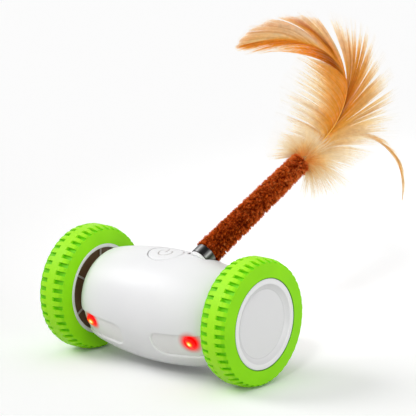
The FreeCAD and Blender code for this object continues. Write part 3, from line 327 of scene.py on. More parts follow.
def lamp_glow(side):
    """Red lens whose lit chip shows yellow in the middle."""
    shader = Shader("lit_lens_left" if side > 0 else "lit_lens_right")
    near = distance_from(shader, eye_centre(side, 25.2), OUTWARD, 0.0034)
    glow = shader.ramp(near, (0.0, (1.0, 1.0, 0.75, 1)), (0.2, (1.0, 0.93, 0.25, 1)),
                       (0.32, (1.0, 0.5, 0.01, 1)), (0.5, (1.0, 0.05, 0.0, 1)), (0.7, (1.0, 0.0, 0.0, 1)),
                       (0.92, (0.8, 0.0, 0.0, 1)), (1.0, (0.5, 0.0, 0.0, 1)))
    shader.link(glow, shader.surface.inputs["Emission Color"])
    lens = shader.ramp(shader.noise(300.0, 2.0), (0.3, (0.3, 0.0, 0.0, 1)), (0.7, (0.36, 0.002, 0.002, 1)))
    shader.paint(lens)
    shader.set(Roughness=0.3, Specular_IOR_Level=0.2, Emission_Strength=1.0)
    return shader


def tinted(name, roughness, scale=700.0, through=0.0, gloss=0.0):
    """Fibre material whose colour comes with each fibre; through is the share of light from behind."""
    shader = Shader(name)
    colour = shader.add("ShaderNodeVertexColor", layer_name="tint").outputs["Color"]
    grain = shader.ramp(shader.noise(scale, 2.0), (0.3, (0.9, 0.88, 0.86, 1)), (0.7, (1.0, 1.0, 1.0, 1)))
    mottled = shader.mixed(1.0, colour, grain, "MULTIPLY")
    shader.paint(mottled)
    shader.set(Roughness=roughness, Specular_IOR_Level=gloss)
    if through:
        behind = shader.add("ShaderNodeBsdfTranslucent")
        shader.link(mottled, behind.inputs["Color"])
        both = shader.add("ShaderNodeMixShader")
        both.inputs["Fac"].default_value = through
        shader.link(shader.surface.outputs[0], both.inputs[1])
        shader.link(behind.outputs[0], both.inputs[2])
        shader.link(both.outputs[0], shader.tree.nodes["Material Output"].inputs["Surface"])
    return shader


def rolled_band():
    """Bright metal band with painted reflections: dark and light streaks that run along the tail and change
    round it.
    """
    shader = Shader("bright_band_metal")
    spread = shader.add("ShaderNodeVectorMath", operation="NORMALIZE")
    shader.link(off_axis(shader, TAIL_FOOT * MM, TAIL), spread.inputs[0])
    across = shader.add("ShaderNodeVectorMath", operation="DOT_PRODUCT")
    across.inputs[1].default_value = -FACING
    shader.link(spread.outputs["Vector"], across.inputs[0])
    wavy = shader.maths("ADD", across.outputs["Value"], shader.spread(shader.noise(60.0, 2.0), -0.02, 0.02))
    # painted reflections: grey tones by the angle round the band
    painted_light_tones = [(0.0, 70), (0.06, 120), (0.13, 168), (0.2, 128), (0.29, 46), (0.36, 84), (0.43, 178), (0.5, 110),
             (0.58, 32), (0.68, 20), (0.77, 48), (0.83, 112), (0.89, 176), (0.95, 110), (1.0, 60)]
    streaks = shader.ramp(shader.step_up(wavy, -1.0, 1.0), *[(spot, grey(tone)) for spot, tone in painted_light_tones])
    shader.paint(streaks)
    shader.set(Metallic=0.75, Specular_IOR_Level=0.3)
    shader.link(shader.spread(shader.noise(420.0, 3.0), 0.38, 0.48), shader.surface.inputs["Roughness"])
    shader.bump(shader.noise(900.0, 2.0), 0.02, 0.00003, 0.0003)
    return shader


RIB_EDGE_STARTS = 46.8
RIB_EDGE_FULL = 46.2


def ribbed_web(word):
    """Dark wheel web whose ribs are lighter along their free edges."""
    shader = Shader(f"{word}_web_plastic")
    apart = shader.add("ShaderNodeSeparateXYZ")
    shader.link(shader.place, apart.inputs[0])
    tone_factor = shader.step_up(shader.maths("ABSOLUTE", apart.outputs["X"]), RIB_EDGE_STARTS * MM, RIB_EDGE_FULL * MM)
    cloud = shader.ramp(shader.noise(70.0, 3.0), (0.3, srgb(112, 84, 56)), (0.7, srgb(124, 94, 66)))
    shader.paint(shader.mixed(tone_factor, cloud, srgb(190, 184, 176)))
    shader.set(Roughness=0.45)
    shader.bump(shader.noise(1800.0, 2.0), 0.06, 0.0001, 0.0002)
    return shader


WHITE = moulded("white_shell_plastic", srgb(243, 243, 243), srgb(239, 239, 240), 0.36, 0.0006)
RIM_WHITE = moulded("white_rim_plastic", srgb(242, 242, 242), srgb(238, 238, 239), 0.36)
HUB_WHITE = dished_hub()
LIME = rubber()
DARK = moulded("dark_brown_plastic", srgb(92, 72, 52), srgb(74, 58, 42), 0.5)
STEEL = metal("turned_steel", srgb(176, 176, 178), 0.32)
CAN = metal("drawn_can_steel", srgb(186, 186, 182), 0.3, (1, 12, 12))
BRASS = metal("turned_brass", srgb(212, 172, 96), 0.3)
BAND = rolled_band()
ACETAL = moulded("natural_acetal", srgb(232, 228, 214), srgb(224, 220, 204), 0.42)
BOARD = moulded("solder_mask", srgb(24, 106, 56), srgb(16, 88, 44), 0.35)
CELL = moulded("cell_film", srgb(70, 108, 170), srgb(62, 98, 158), 0.3)
THREAD = moulded("wound_thread", srgb(190, 150, 96), srgb(164, 124, 74), 0.7, 0.0002, 0.3)

SLOT_MATERIALS = {
    "white_shell": WHITE, "screw_steel": STEEL, "board_green": BOARD, "dark_plastic": DARK,
    "socket_metal": STEEL, "cell_can": CELL, "motor_can": CAN, "shaft_steel": STEEL, "gear_plastic": ACETAL,
    "brass_parts": BRASS, "tyre_green": LIME, "wheel_white": RIM_WHITE, "bright_band": BAND, "binding": THREAD,
}
OWN_MATERIALS = {
    "main_shell": glowing_shell(),
    "left_window_pad": window_glow(1), "right_window_pad": window_glow(-1),
    "left_eye": lamp_glow(1), "right_eye": lamp_glow(-1),
    "left_hub_cap": HUB_WHITE, "right_hub_cap": HUB_WHITE,
    "left_wheel_web": ribbed_web("left"), "right_wheel_web": ribbed_web("right"),
}


def dress_nodes():
    """Give every CAD piece that stays its material."""
    slots = {part["node"]: part["material_slot"] for part in frame["record"]["subparts"]}
    for name, node in nodes.items():
        shader = OWN_MATERIALS.get(name) or SLOT_MATERIALS.get(slots[name])
        if shader is None:
            continue
        node.data.materials.clear()
        node.data.materials.append(shader.material)


# Meshes


def make_mesh(name, points, faces, shader, body, tints=None):
    """A smooth piece from points in millimetres; tints is one colour per point."""
    mesh = bpy.data.meshes.new(name)
    mesh.from_pydata([Vector(point) * MM for point in points], [], faces)
    mesh.polygons.foreach_set("use_smooth", [True] * len(mesh.polygons))
    if tints:
        layer = mesh.color_attributes.new("tint", "FLOAT_COLOR", "POINT")
        layer.data.foreach_set("color", [value for tint in tints for value in tint])
    mesh.materials.append(shader.material)
    mesh.update()
    piece = bpy.data.objects.new(name, mesh)
    bpy.context.collection.objects.link(piece)
    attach(piece, body)
    return piece


def ring_faces(first, rings, sides):
    """Quads that join rings of points, each ring to the next, counted from the point first."""
    faces = []
    for ring in range(rings):
        for side in range(sides):
            a = first + ring * sides + side
            b = first + ring * sides + (side + 1) % sides
            faces.append((a, b, b + sides, a + sides))
    return faces


def blended(low, high, amount):
    """A colour or a point between two."""
    return tuple(a + (b - a) * amount for a, b in zip(low, high))


class Fibres:
    """Thin tapering ribbons gathered into one mesh."""

    def __init__(self):
        self.points, self.faces, self.tints = [], [], []

    def add(self, line, width, facing, colours):
        """A ribbon along a line of points; facing is the direction its flat side looks in."""
        first = len(self.points)
        last = len(line) - 1
        for index, point in enumerate(line):
            along = (line[min(index + 1, last)] - line[max(index - 1, 0)])
            across = along.cross(facing)
            if across.length < 1e-9:
                across = along.orthogonal()
            share = index / last
            half = across.normalized() * (width * 0.5 * (1.0 - 0.85 * share))
            self.points += [point - half, point + half]
            self.tints += [colours[index]] * 2
        for index in range(last):
            a = first + 2 * index
            self.faces.append((a, a + 1, a + 3, a + 2))

    def build(self, name, shader, body, slot):
        return make_mesh(name, self.points, self.faces, shader, body, self.tints)


# Power button


BUTTON_LONG = 9.2
BUTTON_WIDE = 8.6
BUTTON_FORWARD = 2.7


def barrel_top(x, y):
    """Height of the body's upper surface."""
    radius = BARREL_RADIUS - BARREL_ARC + math.sqrt(BARREL_ARC ** 2 - x ** 2)
    return BARREL_Z + math.sqrt(radius ** 2 - y ** 2)


def groove(distance, half, depth):
    """Depth of a round-bottomed groove at a distance from its middle line."""
    share = min(abs(distance) / half, 1.0)
    return depth * (1 - share * share) ** 0.7 if share < 1 else 0.0


BUTTON_WHITE = srgb(243, 243, 243)
SYMBOL_PAINTED_SHADE = srgb(206, 202, 198)


def button_plastic():
    """The shell's white plastic, with painted shade in the pressed symbol."""
    shader = Shader("white_button_plastic")
    colour = shader.add("ShaderNodeVertexColor", layer_name="tint")
    cloud = shader.ramp(shader.noise(28.0, 2.0), (0.35, (0.97, 0.97, 0.98, 1)), (0.65, (1, 1, 1, 1)))
    shader.paint(shader.mixed(1.0, colour.outputs["Color"], cloud, "MULTIPLY"))
    shader.satin(0.36)
    shader.bump(shader.noise(2600.0, 2.0), 0.05, 0.00008)
    return shader


def symbol_depth(x, y):
    """The open ring and tick pressed into the button's top."""
    lean = math.radians(11)
    x, y = x - 0.2, y + 0.7
    u = x * math.cos(lean) + y * math.sin(lean)
    v = -x * math.sin(lean) + y * math.cos(lean)
    ring, half, depth = 3.5, 0.46, 0.55
    gap = math.radians(40)
    angle = math.atan2(u, v)
    if abs(angle) >= gap:
        ring_distance = math.hypot(u, v) - ring
    else:
        ends = [(ring * math.sin(turn), ring * math.cos(turn)) for turn in (-gap, gap)]
        ring_distance = min(math.hypot(u - a, v - b) for a, b in ends)
    tick_distance = math.hypot(u, v - min(max(v, 0.2), 4.6))
    return max(groove(ring_distance, half, depth), groove(tick_distance, half, depth))


def power_button():
    """Oval cap that follows the barrel, with a pressed symbol, a rounded rim and its ledge and stem."""
    rings, turns = 70, 180
    points, faces, dips = [], [], []
    for ring in range(rings + 1):
        share = ring / rings
        for turn in range(turns):
            angle = 2 * math.pi * turn / turns
            x = BUTTON_LONG * share * math.cos(angle)
            y = BUTTON_WIDE * share * math.sin(angle)
            edge = max(0.0, (share * 8.9 - 8.3) / 0.6)
            drop = 0.6 * (1 - math.sqrt(max(0.0, 1 - edge * edge))) if edge < 1 else 0.6
            dips.append(symbol_depth(x, y))
            points.append((x, y - BUTTON_FORWARD, barrel_top(x, y - BUTTON_FORWARD) - dips[-1] - drop))
    for depth, growth in ((1.8, 1.0), (1.95, 1.1), (2.8, 1.1), (2.8, 0.9)):
        for turn in range(turns):
            angle = 2 * math.pi * turn / turns
            reach = growth if math.sin(angle) < -0.1 else min(growth, 1.0)
            x = BUTTON_LONG * reach * math.cos(angle)
            y = BUTTON_WIDE * reach * math.sin(angle) - BUTTON_FORWARD
            points.append((x, y, barrel_top(x, y) - depth))
    for ring in range(rings + 4):
        for turn in range(turns):
            following = (turn + 1) % turns
            a, b = ring * turns + turn, ring * turns + following
            faces.append((a, a + turns, b + turns, b))
    base = len(points)
    for z in (54.2, 49.65):
        for turn in range(24):
            angle = 2 * math.pi * turn / 24
            points.append((2 * math.cos(angle), 2 * math.sin(angle) - BUTTON_FORWARD, z))
    for turn in range(24):
        following = (turn + 1) % 24
        faces.append((base + turn, base + following, base + 24 + following, base + 24 + turn))
    faces.append(tuple(base + 24 + turn for turn in range(24)))
    # painted shade: the symbol's groove is darker the deeper it is pressed
    tints = [blended(BUTTON_WHITE, SYMBOL_PAINTED_SHADE, min(1.0, dip * 2)) for dip in dips]
    tints += [BUTTON_WHITE] * (len(points) - len(tints))
    cap = make_mesh("power_button_cap", points, faces, button_plastic(), "power_button", tints)
    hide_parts("power_button")


# Tail


def plush_radius(reach):
    """Radius of the plush at a distance from the tail foot, closing at its far end."""
    share = (reach - PLUSH_FOOT) / (PLUSH_LENGTH - PLUSH_FOOT)
    radius = 6.35 - 1.05 * share
    left = PLUSH_LENGTH - reach
    if left < 3.6:
        radius *= math.sqrt(max(0.0, 1 - ((3.6 - left) / 3.6) ** 2)) * 0.55 + 0.45
    return radius


TAIL_ACROSS = TAIL.cross(Vector((0, 0, 1))).normalized()
TAIL_ABOVE = TAIL_ACROSS.cross(TAIL)
PILE_OVERHANG = 0.3


def off_tail(angle):
    """A direction square to the tail, at an angle round it."""
    return TAIL_ACROSS * math.cos(angle) + TAIL_ABOVE * math.sin(angle)


def pile_overhang(reach, angle):
    """The pile lies thicker on the tail's lower side, most of all near the band."""
    share = (reach - PLUSH_FOOT) / (PLUSH_LENGTH - PLUSH_FOOT)
    return PILE_OVERHANG * (1 - off_tail(angle).dot(SIDEWAYS)) * (1 - 0.6 * share)


def on_plush(reach, angle, radius):
    return TAIL_FOOT + TAIL * reach + off_tail(angle) * radius


def pile_swell(point):
    """Tufts and creases of crushed pile, -1 to 1, longer along the tail than across it."""
    along = TAIL * point.dot(TAIL)
    short = point - along * 0.55
    tufts = 0.5 * noise.noise(short * 0.45) + 0.9 * noise.noise(short * 1.2) + 0.7 * noise.noise(short * 2.6)
    return max(-1.0, min(1.0, tufts * 1.3))


PILE_DARK_AND_SHADE = srgb(104, 26, 4)
PILE_MIDDLE = srgb(240, 106, 30)
PILE_LIGHT_AND_HIGHLIGHT = srgb(255, 172, 92)


# Pile colour from its dark to its light: a lower swell is painted shade in the creases and a higher one
# painted highlight on the tufts, and share paints shade towards a fibre's root and highlight towards its tip.
# Random tone that the callers add is the pile's own.
def pile_colour(swell, share):
    amount = max(0.0, min(1.0, 0.42 + 0.5 * swell + 0.4 * (share - 0.6)))
    if amount < 0.5:
        return blended(PILE_DARK_AND_SHADE, PILE_MIDDLE, amount * 2)
    return blended(PILE_MIDDLE, PILE_LIGHT_AND_HIGHLIGHT, amount * 2 - 1)


PLUSH_TUFTS = 2200
TUFT_FIBRES = 24


def plush():
    """Backing cloth under small leaning tufts of pile."""
    shader = tinted("rust_pile", 0.8, through=0.3)
    lengthwise, around = 200, 80
    points, tints = [], []
    for step in range(lengthwise + 1):
        reach = PLUSH_FOOT + (PLUSH_LENGTH - PLUSH_FOOT) * step / lengthwise
        for turn in range(around):
            angle = 2 * math.pi * turn / around
            swell = pile_swell(on_plush(reach, angle, plush_radius(reach)))
            points.append(on_plush(reach, angle, plush_radius(reach) - 0.8 + 0.15 * swell))
            # painted shade: the backing under the pile is darker
            tints.append(pile_colour(swell - 0.4, 0.1))
    faces = ring_faces(0, lengthwise, around)
    faces.append(tuple(lengthwise * around + turn for turn in range(around)))
    backing = make_mesh("plush_backing", points, faces, shader, "tail", tints)
    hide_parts("plush_sleeve")

    fibres = Fibres()
    for _ in range(PLUSH_TUFTS):
        reach = random.uniform(PLUSH_FOOT + 0.2, PLUSH_LENGTH - 0.2)
        angle = random.uniform(0, 2 * math.pi)
        radius = plush_radius(reach) + pile_overhang(reach, angle)
        surface = on_plush(reach, angle, radius)
        outwards = (surface - on_plush(reach, angle, 0)).normalized()
        around_way = TAIL.cross(outwards)
        lean = noise.noise(surface * 0.25 + Vector((40, 0, 0))) * 1.4 + random.uniform(-0.5, 0.5)
        lean_along = -0.7 + 0.8 * noise.noise(surface * 0.3 + Vector((0, 50, 0))) + random.uniform(-0.5, 0.5)
        if reach > PLUSH_LENGTH - 2.5:
            lean_along = 0.4
        if reach < PLUSH_FOOT + 2.5:
            lean_along *= (reach - PLUSH_FOOT) / 2.5
        swell = pile_swell(surface)
        rise = random.uniform(0.85, 1.25) * (1 + 0.1 * swell)
        leaning = (outwards + TAIL * lean_along + around_way * lean).normalized()
        tip = on_plush(reach, angle, radius - 0.85) + leaning * rise
        # lighter towards the tail's far end; the swell part is painted shade and highlight, the random part
        # the pile's own tone
        tone = swell * 0.5 + 0.7 * (reach / PLUSH_LENGTH - 0.4) + random.uniform(-0.4, 0.4)
        for _ in range(TUFT_FIBRES):
            near = min(max(reach + random.gauss(0, 0.6), PLUSH_FOOT + 0.1), PLUSH_LENGTH - 0.1)
            root = on_plush(near, angle + random.gauss(0, 0.7) / radius, plush_radius(near) - 0.9)
            end = tip + Vector((random.uniform(-1, 1), random.uniform(-1, 1), random.uniform(-1, 1))) * 0.45
            end += outwards * (0.7 * random.random() ** 3)
            middle = (root + end) * 0.5 + outwards * 0.18
            shade = tone + random.uniform(-0.2, 0.2)
            # painted shade at each fibre's root and painted highlight at its tip
            colours = [pile_colour(shade - 0.6, 0.0), pile_colour(shade, 0.6), pile_colour(shade + 0.2, 1.0)]
            facing = outwards.cross(end - root) + outwards * random.uniform(-0.8, 0.8)
            fibres.add([root, middle, end], random.uniform(0.12, 0.19), facing, colours)
    fibres.build("plush_fibres", shader, "tail", "plush")


def wound_thread():
    """Thread wound round the feathers' quills just beyond the plush, in two crossing layers."""
    points, faces, sides = [], [], 8
    for layer, (turns, coil, start, end) in enumerate(((6.5, 1.72, 0.25, 2.75), (5.0, 1.86, 2.7, 0.35))):
        first = len(points)
        steps = 160
        for step in range(steps + 1):
            share = step / steps
            angle = 2 * math.pi * (turns * share + 0.3 * layer)
            out = off_tail(angle)
            radius = coil - 0.25 * abs(2 * share - 1) ** 3
            centre = TAIL_END + TAIL * (start + (end - start) * share) + out * radius
            for side in range(sides):
                turn = 2 * math.pi * side / sides
                strand = 0.2 + 0.03 * math.sin(3 * turn + 40 * share * turns)
                points.append(centre + (out * math.cos(turn) + TAIL * math.sin(turn)) * strand)
        faces += ring_faces(first, steps, sides)
    thread = make_mesh("wound_thread", points, faces, THREAD, "tail")
    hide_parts("feather_binding")


# Feathers


CREAM = srgb(255, 244, 219)
STRAW = srgb(255, 229, 164)
GOLD = srgb(255, 206, 92)
AMBER = srgb(254, 180, 56)
RUST = srgb(234, 142, 42)
UMBER = srgb(196, 100, 22)
TAN = srgb(255, 231, 198)


def in_plane(reach, height, off=0.0):
    """A point of the feathers' plane, given in millimetres from the far end of the plush."""
    return TAIL_END + TAIL * reach + SIDEWAYS * height + FACING * off


def smooth_line(points, count):
    """A Catmull-Rom line through 2-D points, sampled evenly by parameter."""
    line = []
    spans = len(points) - 1
    for index in range(count):
        place = index / (count - 1) * spans
        start = min(int(place), spans - 1)
        t = place - start
        a, b, c, d = (points[min(max(start + k, 0), spans)] for k in (-1, 0, 1, 2))
        line.append(tuple(0.5 * (2 * q + (r - p) * t + (2 * p - 5 * q + 4 * r - s) * t * t
                                 + (3 * q - p - 3 * r + s) * t ** 3) for p, q, r, s in zip(a, b, c, d)))
    return line


def lookup(table, place):
    """Linear interpolation in a table of (place, value, ...) rows."""
    if place <= table[0][0]:
        return table[0][1:]
    for low, high in zip(table, table[1:]):
        if place <= high[0]:
            amount = (place - low[0]) / (high[0] - low[0])
            return blended(low[1:], high[1:], amount)
    return table[-1][1:]


BARB_STEPS = 9


class Feather:
    """A shaft with barbs whose free ends follow a table of (place along the shaft, reach, height)."""

    def __init__(self, name, shaft, off, cup):
        self.name, self.off, self.cup = name, off, cup
        self.shaft = smooth_line(shaft, 240)
        self.fibres = Fibres()

    def shaft_point(self, place):
        spot = max(0.0, min(1.0, place)) * (len(self.shaft) - 1)
        index = min(int(spot), len(self.shaft) - 2)
        amount = spot - index
        return blended(self.shaft[index], self.shaft[index + 1], amount)

    def shaft_way(self, place):
        before, after = self.shaft_point(place - 0.01), self.shaft_point(place + 0.01)
        run = math.hypot(after[0] - before[0], after[1] - before[1]) or 1.0
        return (after[0] - before[0]) / run, (after[1] - before[1]) / run

    def barb_path(self, place, end, sweep, flare, ahead):
        """A barb's curve: it bends off the shaft, or follows it by the share ahead and eases away."""
        if ahead:
            leave = min(place + ahead, 0.99)
            apart = tuple(a - b for a, b in zip(end, self.shaft_point(leave)))

            def path(t):
                near = self.shaft_point(place + (leave - place) * t)
                return near[0] + apart[0] * t ** sweep, near[1] + apart[1] * t ** sweep
            return path
        root, way = self.shaft_point(place), self.shaft_way(place)
        bend = math.hypot(end[0] - root[0], end[1] - root[1]) * sweep
        control = (root[0] + (way[0] * math.cos(flare) - way[1] * math.sin(flare)) * bend,
                   root[1] + (way[0] * math.sin(flare) + way[1] * math.cos(flare)) * bend)

        def path(t):
            return tuple((1 - t) ** 2 * p + 2 * t * (1 - t) * q + t * t * r
                         for p, q, r in zip(root, control, end))
        return path

    def barbs(self, table, count, colours, bundles, gather, sweep=0.42, flare=0.0, ahead=0.0, width=0.19,
              depth=0.8, short=0.3, crowd=1.0):
        """Barbs in bundles of uneven width whose free ends draw together, with streaks along them."""
        low, high = table[0][0], table[-1][0]
        edges = sorted([0.0, 1.0] + [random.random() for _ in range(bundles - 1)])
        holds = [(random.uniform(0.3, 0.7), random.uniform(0.2, 1.0) * gather, random.uniform(0.94, 1.02),
                  random.uniform(-depth, depth)) for _ in range(bundles)]
        seed = random.uniform(0, 100)
        for _ in range(count):
            spot = random.random() ** crowd
            place = low + (high - low) * spot
            bundle = max(index for index in range(bundles) if edges[index] <= spot)
            middle, pull, reach, lift = holds[bundle]
            if random.random() < 0.3:
                pull *= random.random()
                lift += random.uniform(-0.5, 0.5)
            centre = edges[bundle] + (edges[bundle + 1] - edges[bundle]) * middle
            tip = lookup(table, low + (high - low) * centre)
            end = blended(lookup(table, place), tip, pull)
            reaches = reach * (1 - short * random.random()) if random.random() < 0.96 else 1.06
            path = self.barb_path(place, end, sweep * random.uniform(0.92, 1.08), flare, ahead)
            wander = random.uniform(-0.4, 0.4)
            across = (place - low) * 90
            streak = 0.3 * noise.noise(Vector((across, seed, 0)))
            streak += 0.3 * noise.noise(Vector((across * 5, seed, 3)))
            streak += random.uniform(-0.05, 0.05)
            line, shades = [], []
            for step in range(BARB_STEPS + 1):
                t = step / BARB_STEPS
                point = path(t * reaches)
                off = self.off + self.cup * t * t + (lift * t + wander * math.sin(t * 5)) * t
                line.append(in_plane(point[0], point[1], off))
                shades.append(toned(colours(place, t), streak))
            facing = FACING + SIDEWAYS * random.uniform(-0.4, 0.4) + TAIL * random.uniform(-0.4, 0.4)
            self.fibres.add(line, width * random.uniform(0.7, 1.25), facing, shades)

    def build(self, shader, shaft_shader, shaft_radius, replaced):
        barbs = self.fibres.build(self.name + "_barbs", shader, "tail", "feather")
        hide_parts(replaced)
        sides, points, tints = 6, [], []
        line = self.shaft[::4] + [self.shaft[-1]]
        for index, spot in enumerate(line):
            share = index / (len(line) - 1)
            way = self.shaft_way(share)
            along = TAIL * way[0] + SIDEWAYS * way[1]
            across = along.cross(FACING).normalized()
            radius = shaft_radius * (1 - share) + 0.06
            centre = in_plane(spot[0], spot[1], self.off)
            for side in range(sides):
                angle = 2 * math.pi * side / sides
                points.append(centre + (across * math.cos(angle) + FACING * math.sin(angle)) * radius)
                tints.append(blended(GOLD, RUST, min(1.0, share * 2.2)))
        faces = ring_faces(0, len(line) - 1, sides)
        make_mesh(self.name + "_shaft", points, faces, shaft_shader, "tail", tints)


def shade_between(stops, place):
    """Colour at a place among (place, colour) stops."""
    return lookup([(stop,) + tuple(colour) for stop, colour in stops], place)


def toned(colour, tone):
    """Paler for a tone above zero, darker and richer below it."""
    if tone > 0:
        return blended(colour, CREAM, min(1.0, tone * 1.2))
    return tuple(max(0.0, min(1.0, value * (1 + tone * weight)))
                 for value, weight in zip(colour, (0.45, 1.05, 1.7))) + (1.0,)


def along_barb(t, *stops):
    """Colour at a share t of a barb, between colours evenly spaced along it."""
    spot = min(t, 0.999) * (len(stops) - 1)
    return blended(stops[int(spot)], stops[int(spot) + 1], spot % 1)


def fan_colours(place, t):
    root = shade_between(((0.0, STRAW), (0.06, GOLD), (0.13, AMBER), (0.22, UMBER), (0.34, UMBER),
                          (0.43, RUST)), place)
    middle = shade_between(((0.0, STRAW), (0.13, GOLD), (0.2, AMBER), (0.3, RUST), (0.43, GOLD)), place)
    outer = shade_between(((0.0, CREAM), (0.13, STRAW), (0.26, GOLD), (0.33, GOLD), (0.43, TAN)), place)
    return along_barb(t, root, middle, outer, CREAM)


def crest_colours(place, t):
    root = shade_between(((0.44, AMBER), (0.55, AMBER), (0.7, GOLD), (0.92, GOLD)), place)
    middle = shade_between(((0.44, STRAW), (0.5, AMBER), (0.54, UMBER), (0.6, AMBER), (0.65, TAN),
                            (0.92, STRAW)), place)
    outer = shade_between(((0.44, TAN), (0.53, STRAW), (0.57, RUST), (0.6, GOLD), (0.63, TAN),
                           (0.92, STRAW)), place)
    return along_barb(t, root, middle, outer, TAN)


def inner_colours(place, t):
    root = shade_between(((0.0, STRAW), (0.05, AMBER), (0.1, UMBER), (0.2, RUST), (0.46, AMBER)), place)
    near = shade_between(((0.0, CREAM), (0.06, STRAW), (0.1, GOLD), (0.15, AMBER), (0.46, AMBER)), place)
    middle = shade_between(((0.0, CREAM), (0.08, STRAW), (0.14, GOLD), (0.46, AMBER)), place)
    outer = shade_between(((0.0, CREAM), (0.16, CREAM), (0.22, STRAW), (0.3, GOLD), (0.46, GOLD)), place)
    return along_barb(t, root, near, middle, outer, CREAM)


def under_colours(place, t):
    root = shade_between(((0.42, AMBER), (0.55, GOLD), (0.65, GOLD), (0.94, GOLD)), place)
    middle = shade_between(((0.42, UMBER), (0.5, UMBER), (0.6, AMBER), (0.94, AMBER)), place)
    return along_barb(t, root, middle, AMBER, GOLD)


def curl_colours(place, t):
    return along_barb(t, shade_between(((0.0, GOLD), (0.3, AMBER), (1.0, AMBER)), place), GOLD, STRAW, CREAM)


PLUME_SHAFT = [(0.5, -0.8), (14.1, -0.2), (24.9, 0.7), (35.3, 3.6), (44.2, 7.8), (49.4, 12.0), (53.4, 18.3),
               (54.2, 25.2), (53.1, 33.2), (49.5, 41.1), (42.9, 49.6), (32.3, 57.6), (18.4, 65.0)]
FAN_ENDS = [(0.0, 17.1, -21.2), (0.02, 30.7, -24.3), (0.045, 48.8, -23.1), (0.07, 55.1, -19.2),
            (0.1, 60.9, -13.2), (0.13, 68.6, -7.1), (0.16, 70.6, -2.0), (0.2, 73.4, 4.5), (0.24, 77.4, 12.6),
            (0.28, 80.3, 20.7), (0.32, 80.0, 26.3), (0.36, 77.7, 33.9), (0.4, 73.2, 41.2), (0.43, 70.0, 44.2)]
CREST_ENDS = [(0.44, 66.0, 49.7), (0.48, 62.5, 52.3), (0.53, 58.1, 55.2), (0.6, 48.9, 61.8),
              (0.67, 40.3, 65.5), (0.74, 32.6, 67.4), (0.82, 25.7, 67.2), (0.92, 18.6, 65.4)]
INNER_ENDS = [(0.0, -10.7, 10.2), (0.02, -7.9, 15.0), (0.05, 3.1, 19.8), (0.08, 10.6, 23.8),
              (0.11, 17.3, 26.4), (0.14, 21.1, 30.2), (0.18, 27.6, 34.4), (0.22, 35.3, 34.6),
              (0.26, 40.7, 36.7), (0.31, 43.5, 37.1), (0.4, 47.3, 32.5), (0.46, 49.3, 26.3)]
UNDER_ENDS = [(0.42, 33.6, 49.8), (0.5, 31.8, 51.4), (0.57, 28.7, 53.8), (0.63, 23.6, 57.2),
              (0.68, 20.7, 58.5), (0.76, 19.6, 61.6), (0.84, 18.8, 63.6), (0.94, 18.4, 65.2)]
CURL_SHAFT = [(2.9, -1.0), (16.3, -3.5), (25.8, -5.7), (34.0, -9.6), (38.3, -14.4), (41.4, -21.6),
              (42.7, -28.0), (41.0, -34.6), (37.0, -41.1), (31.9, -46.8), (27.1, -50.5)]
CURL_REACH = 0.24
DOWN_WISPS = 110
WISP_FIBRES = 20


def curl_ends(curl, side):
    """Free ends of the curl's barbs, which lie close along its shaft."""
    ends = []
    for step in range(21):
        place = 0.04 + 0.92 * step / 20
        ahead = min(1.0, place + CURL_REACH)
        x, y = curl.shaft_point(ahead)
        run, rise = curl.shaft_way(min(ahead, 0.99))
        half = (2.4 if side > 0 else 0.8) * math.sin(math.pi * min(1.0, 0.12 + 0.88 * ahead)) ** 0.8
        ends.append((place, x - side * rise * half, y + side * run * half))
    return ends


def feathers():
    fibre = tinted("feather_barb", 0.6, 500.0, 0.5)
    quill = tinted("feather_quill", 0.4, gloss=0.2)

    plume = Feather("plume", PLUME_SHAFT, 0.0, -2.0)
    plume.barbs(FAN_ENDS, 4200, fan_colours, 24, 0.4, sweep=0.4, flare=-0.2, depth=1.0, crowd=1.15)
    plume.barbs(CREST_ENDS, 2400, crest_colours, 24, 0.2, sweep=1.0, ahead=0.25, depth=0.5, short=0.12)
    plume.barbs(INNER_ENDS, 5600, inner_colours, 44, 0.35, sweep=0.4, depth=1.0, short=0.4, crowd=1.4)
    plume.barbs(UNDER_ENDS, 1300, under_colours, 7, 0.5, sweep=1.1, ahead=0.4, depth=0.3)
    plume.build(fibre, quill, 0.24, "plume_feather")

    curl = Feather("curl", CURL_SHAFT, -3.0, 0.4)
    for side in (1, -1):
        curl.barbs(curl_ends(curl, side), 700, curl_colours, 14, 0.6, sweep=0.5, width=0.17, depth=0.3,
                   short=0.15)
    curl.build(fibre, quill, 0.3, "curled_feather")
    down(fibre)


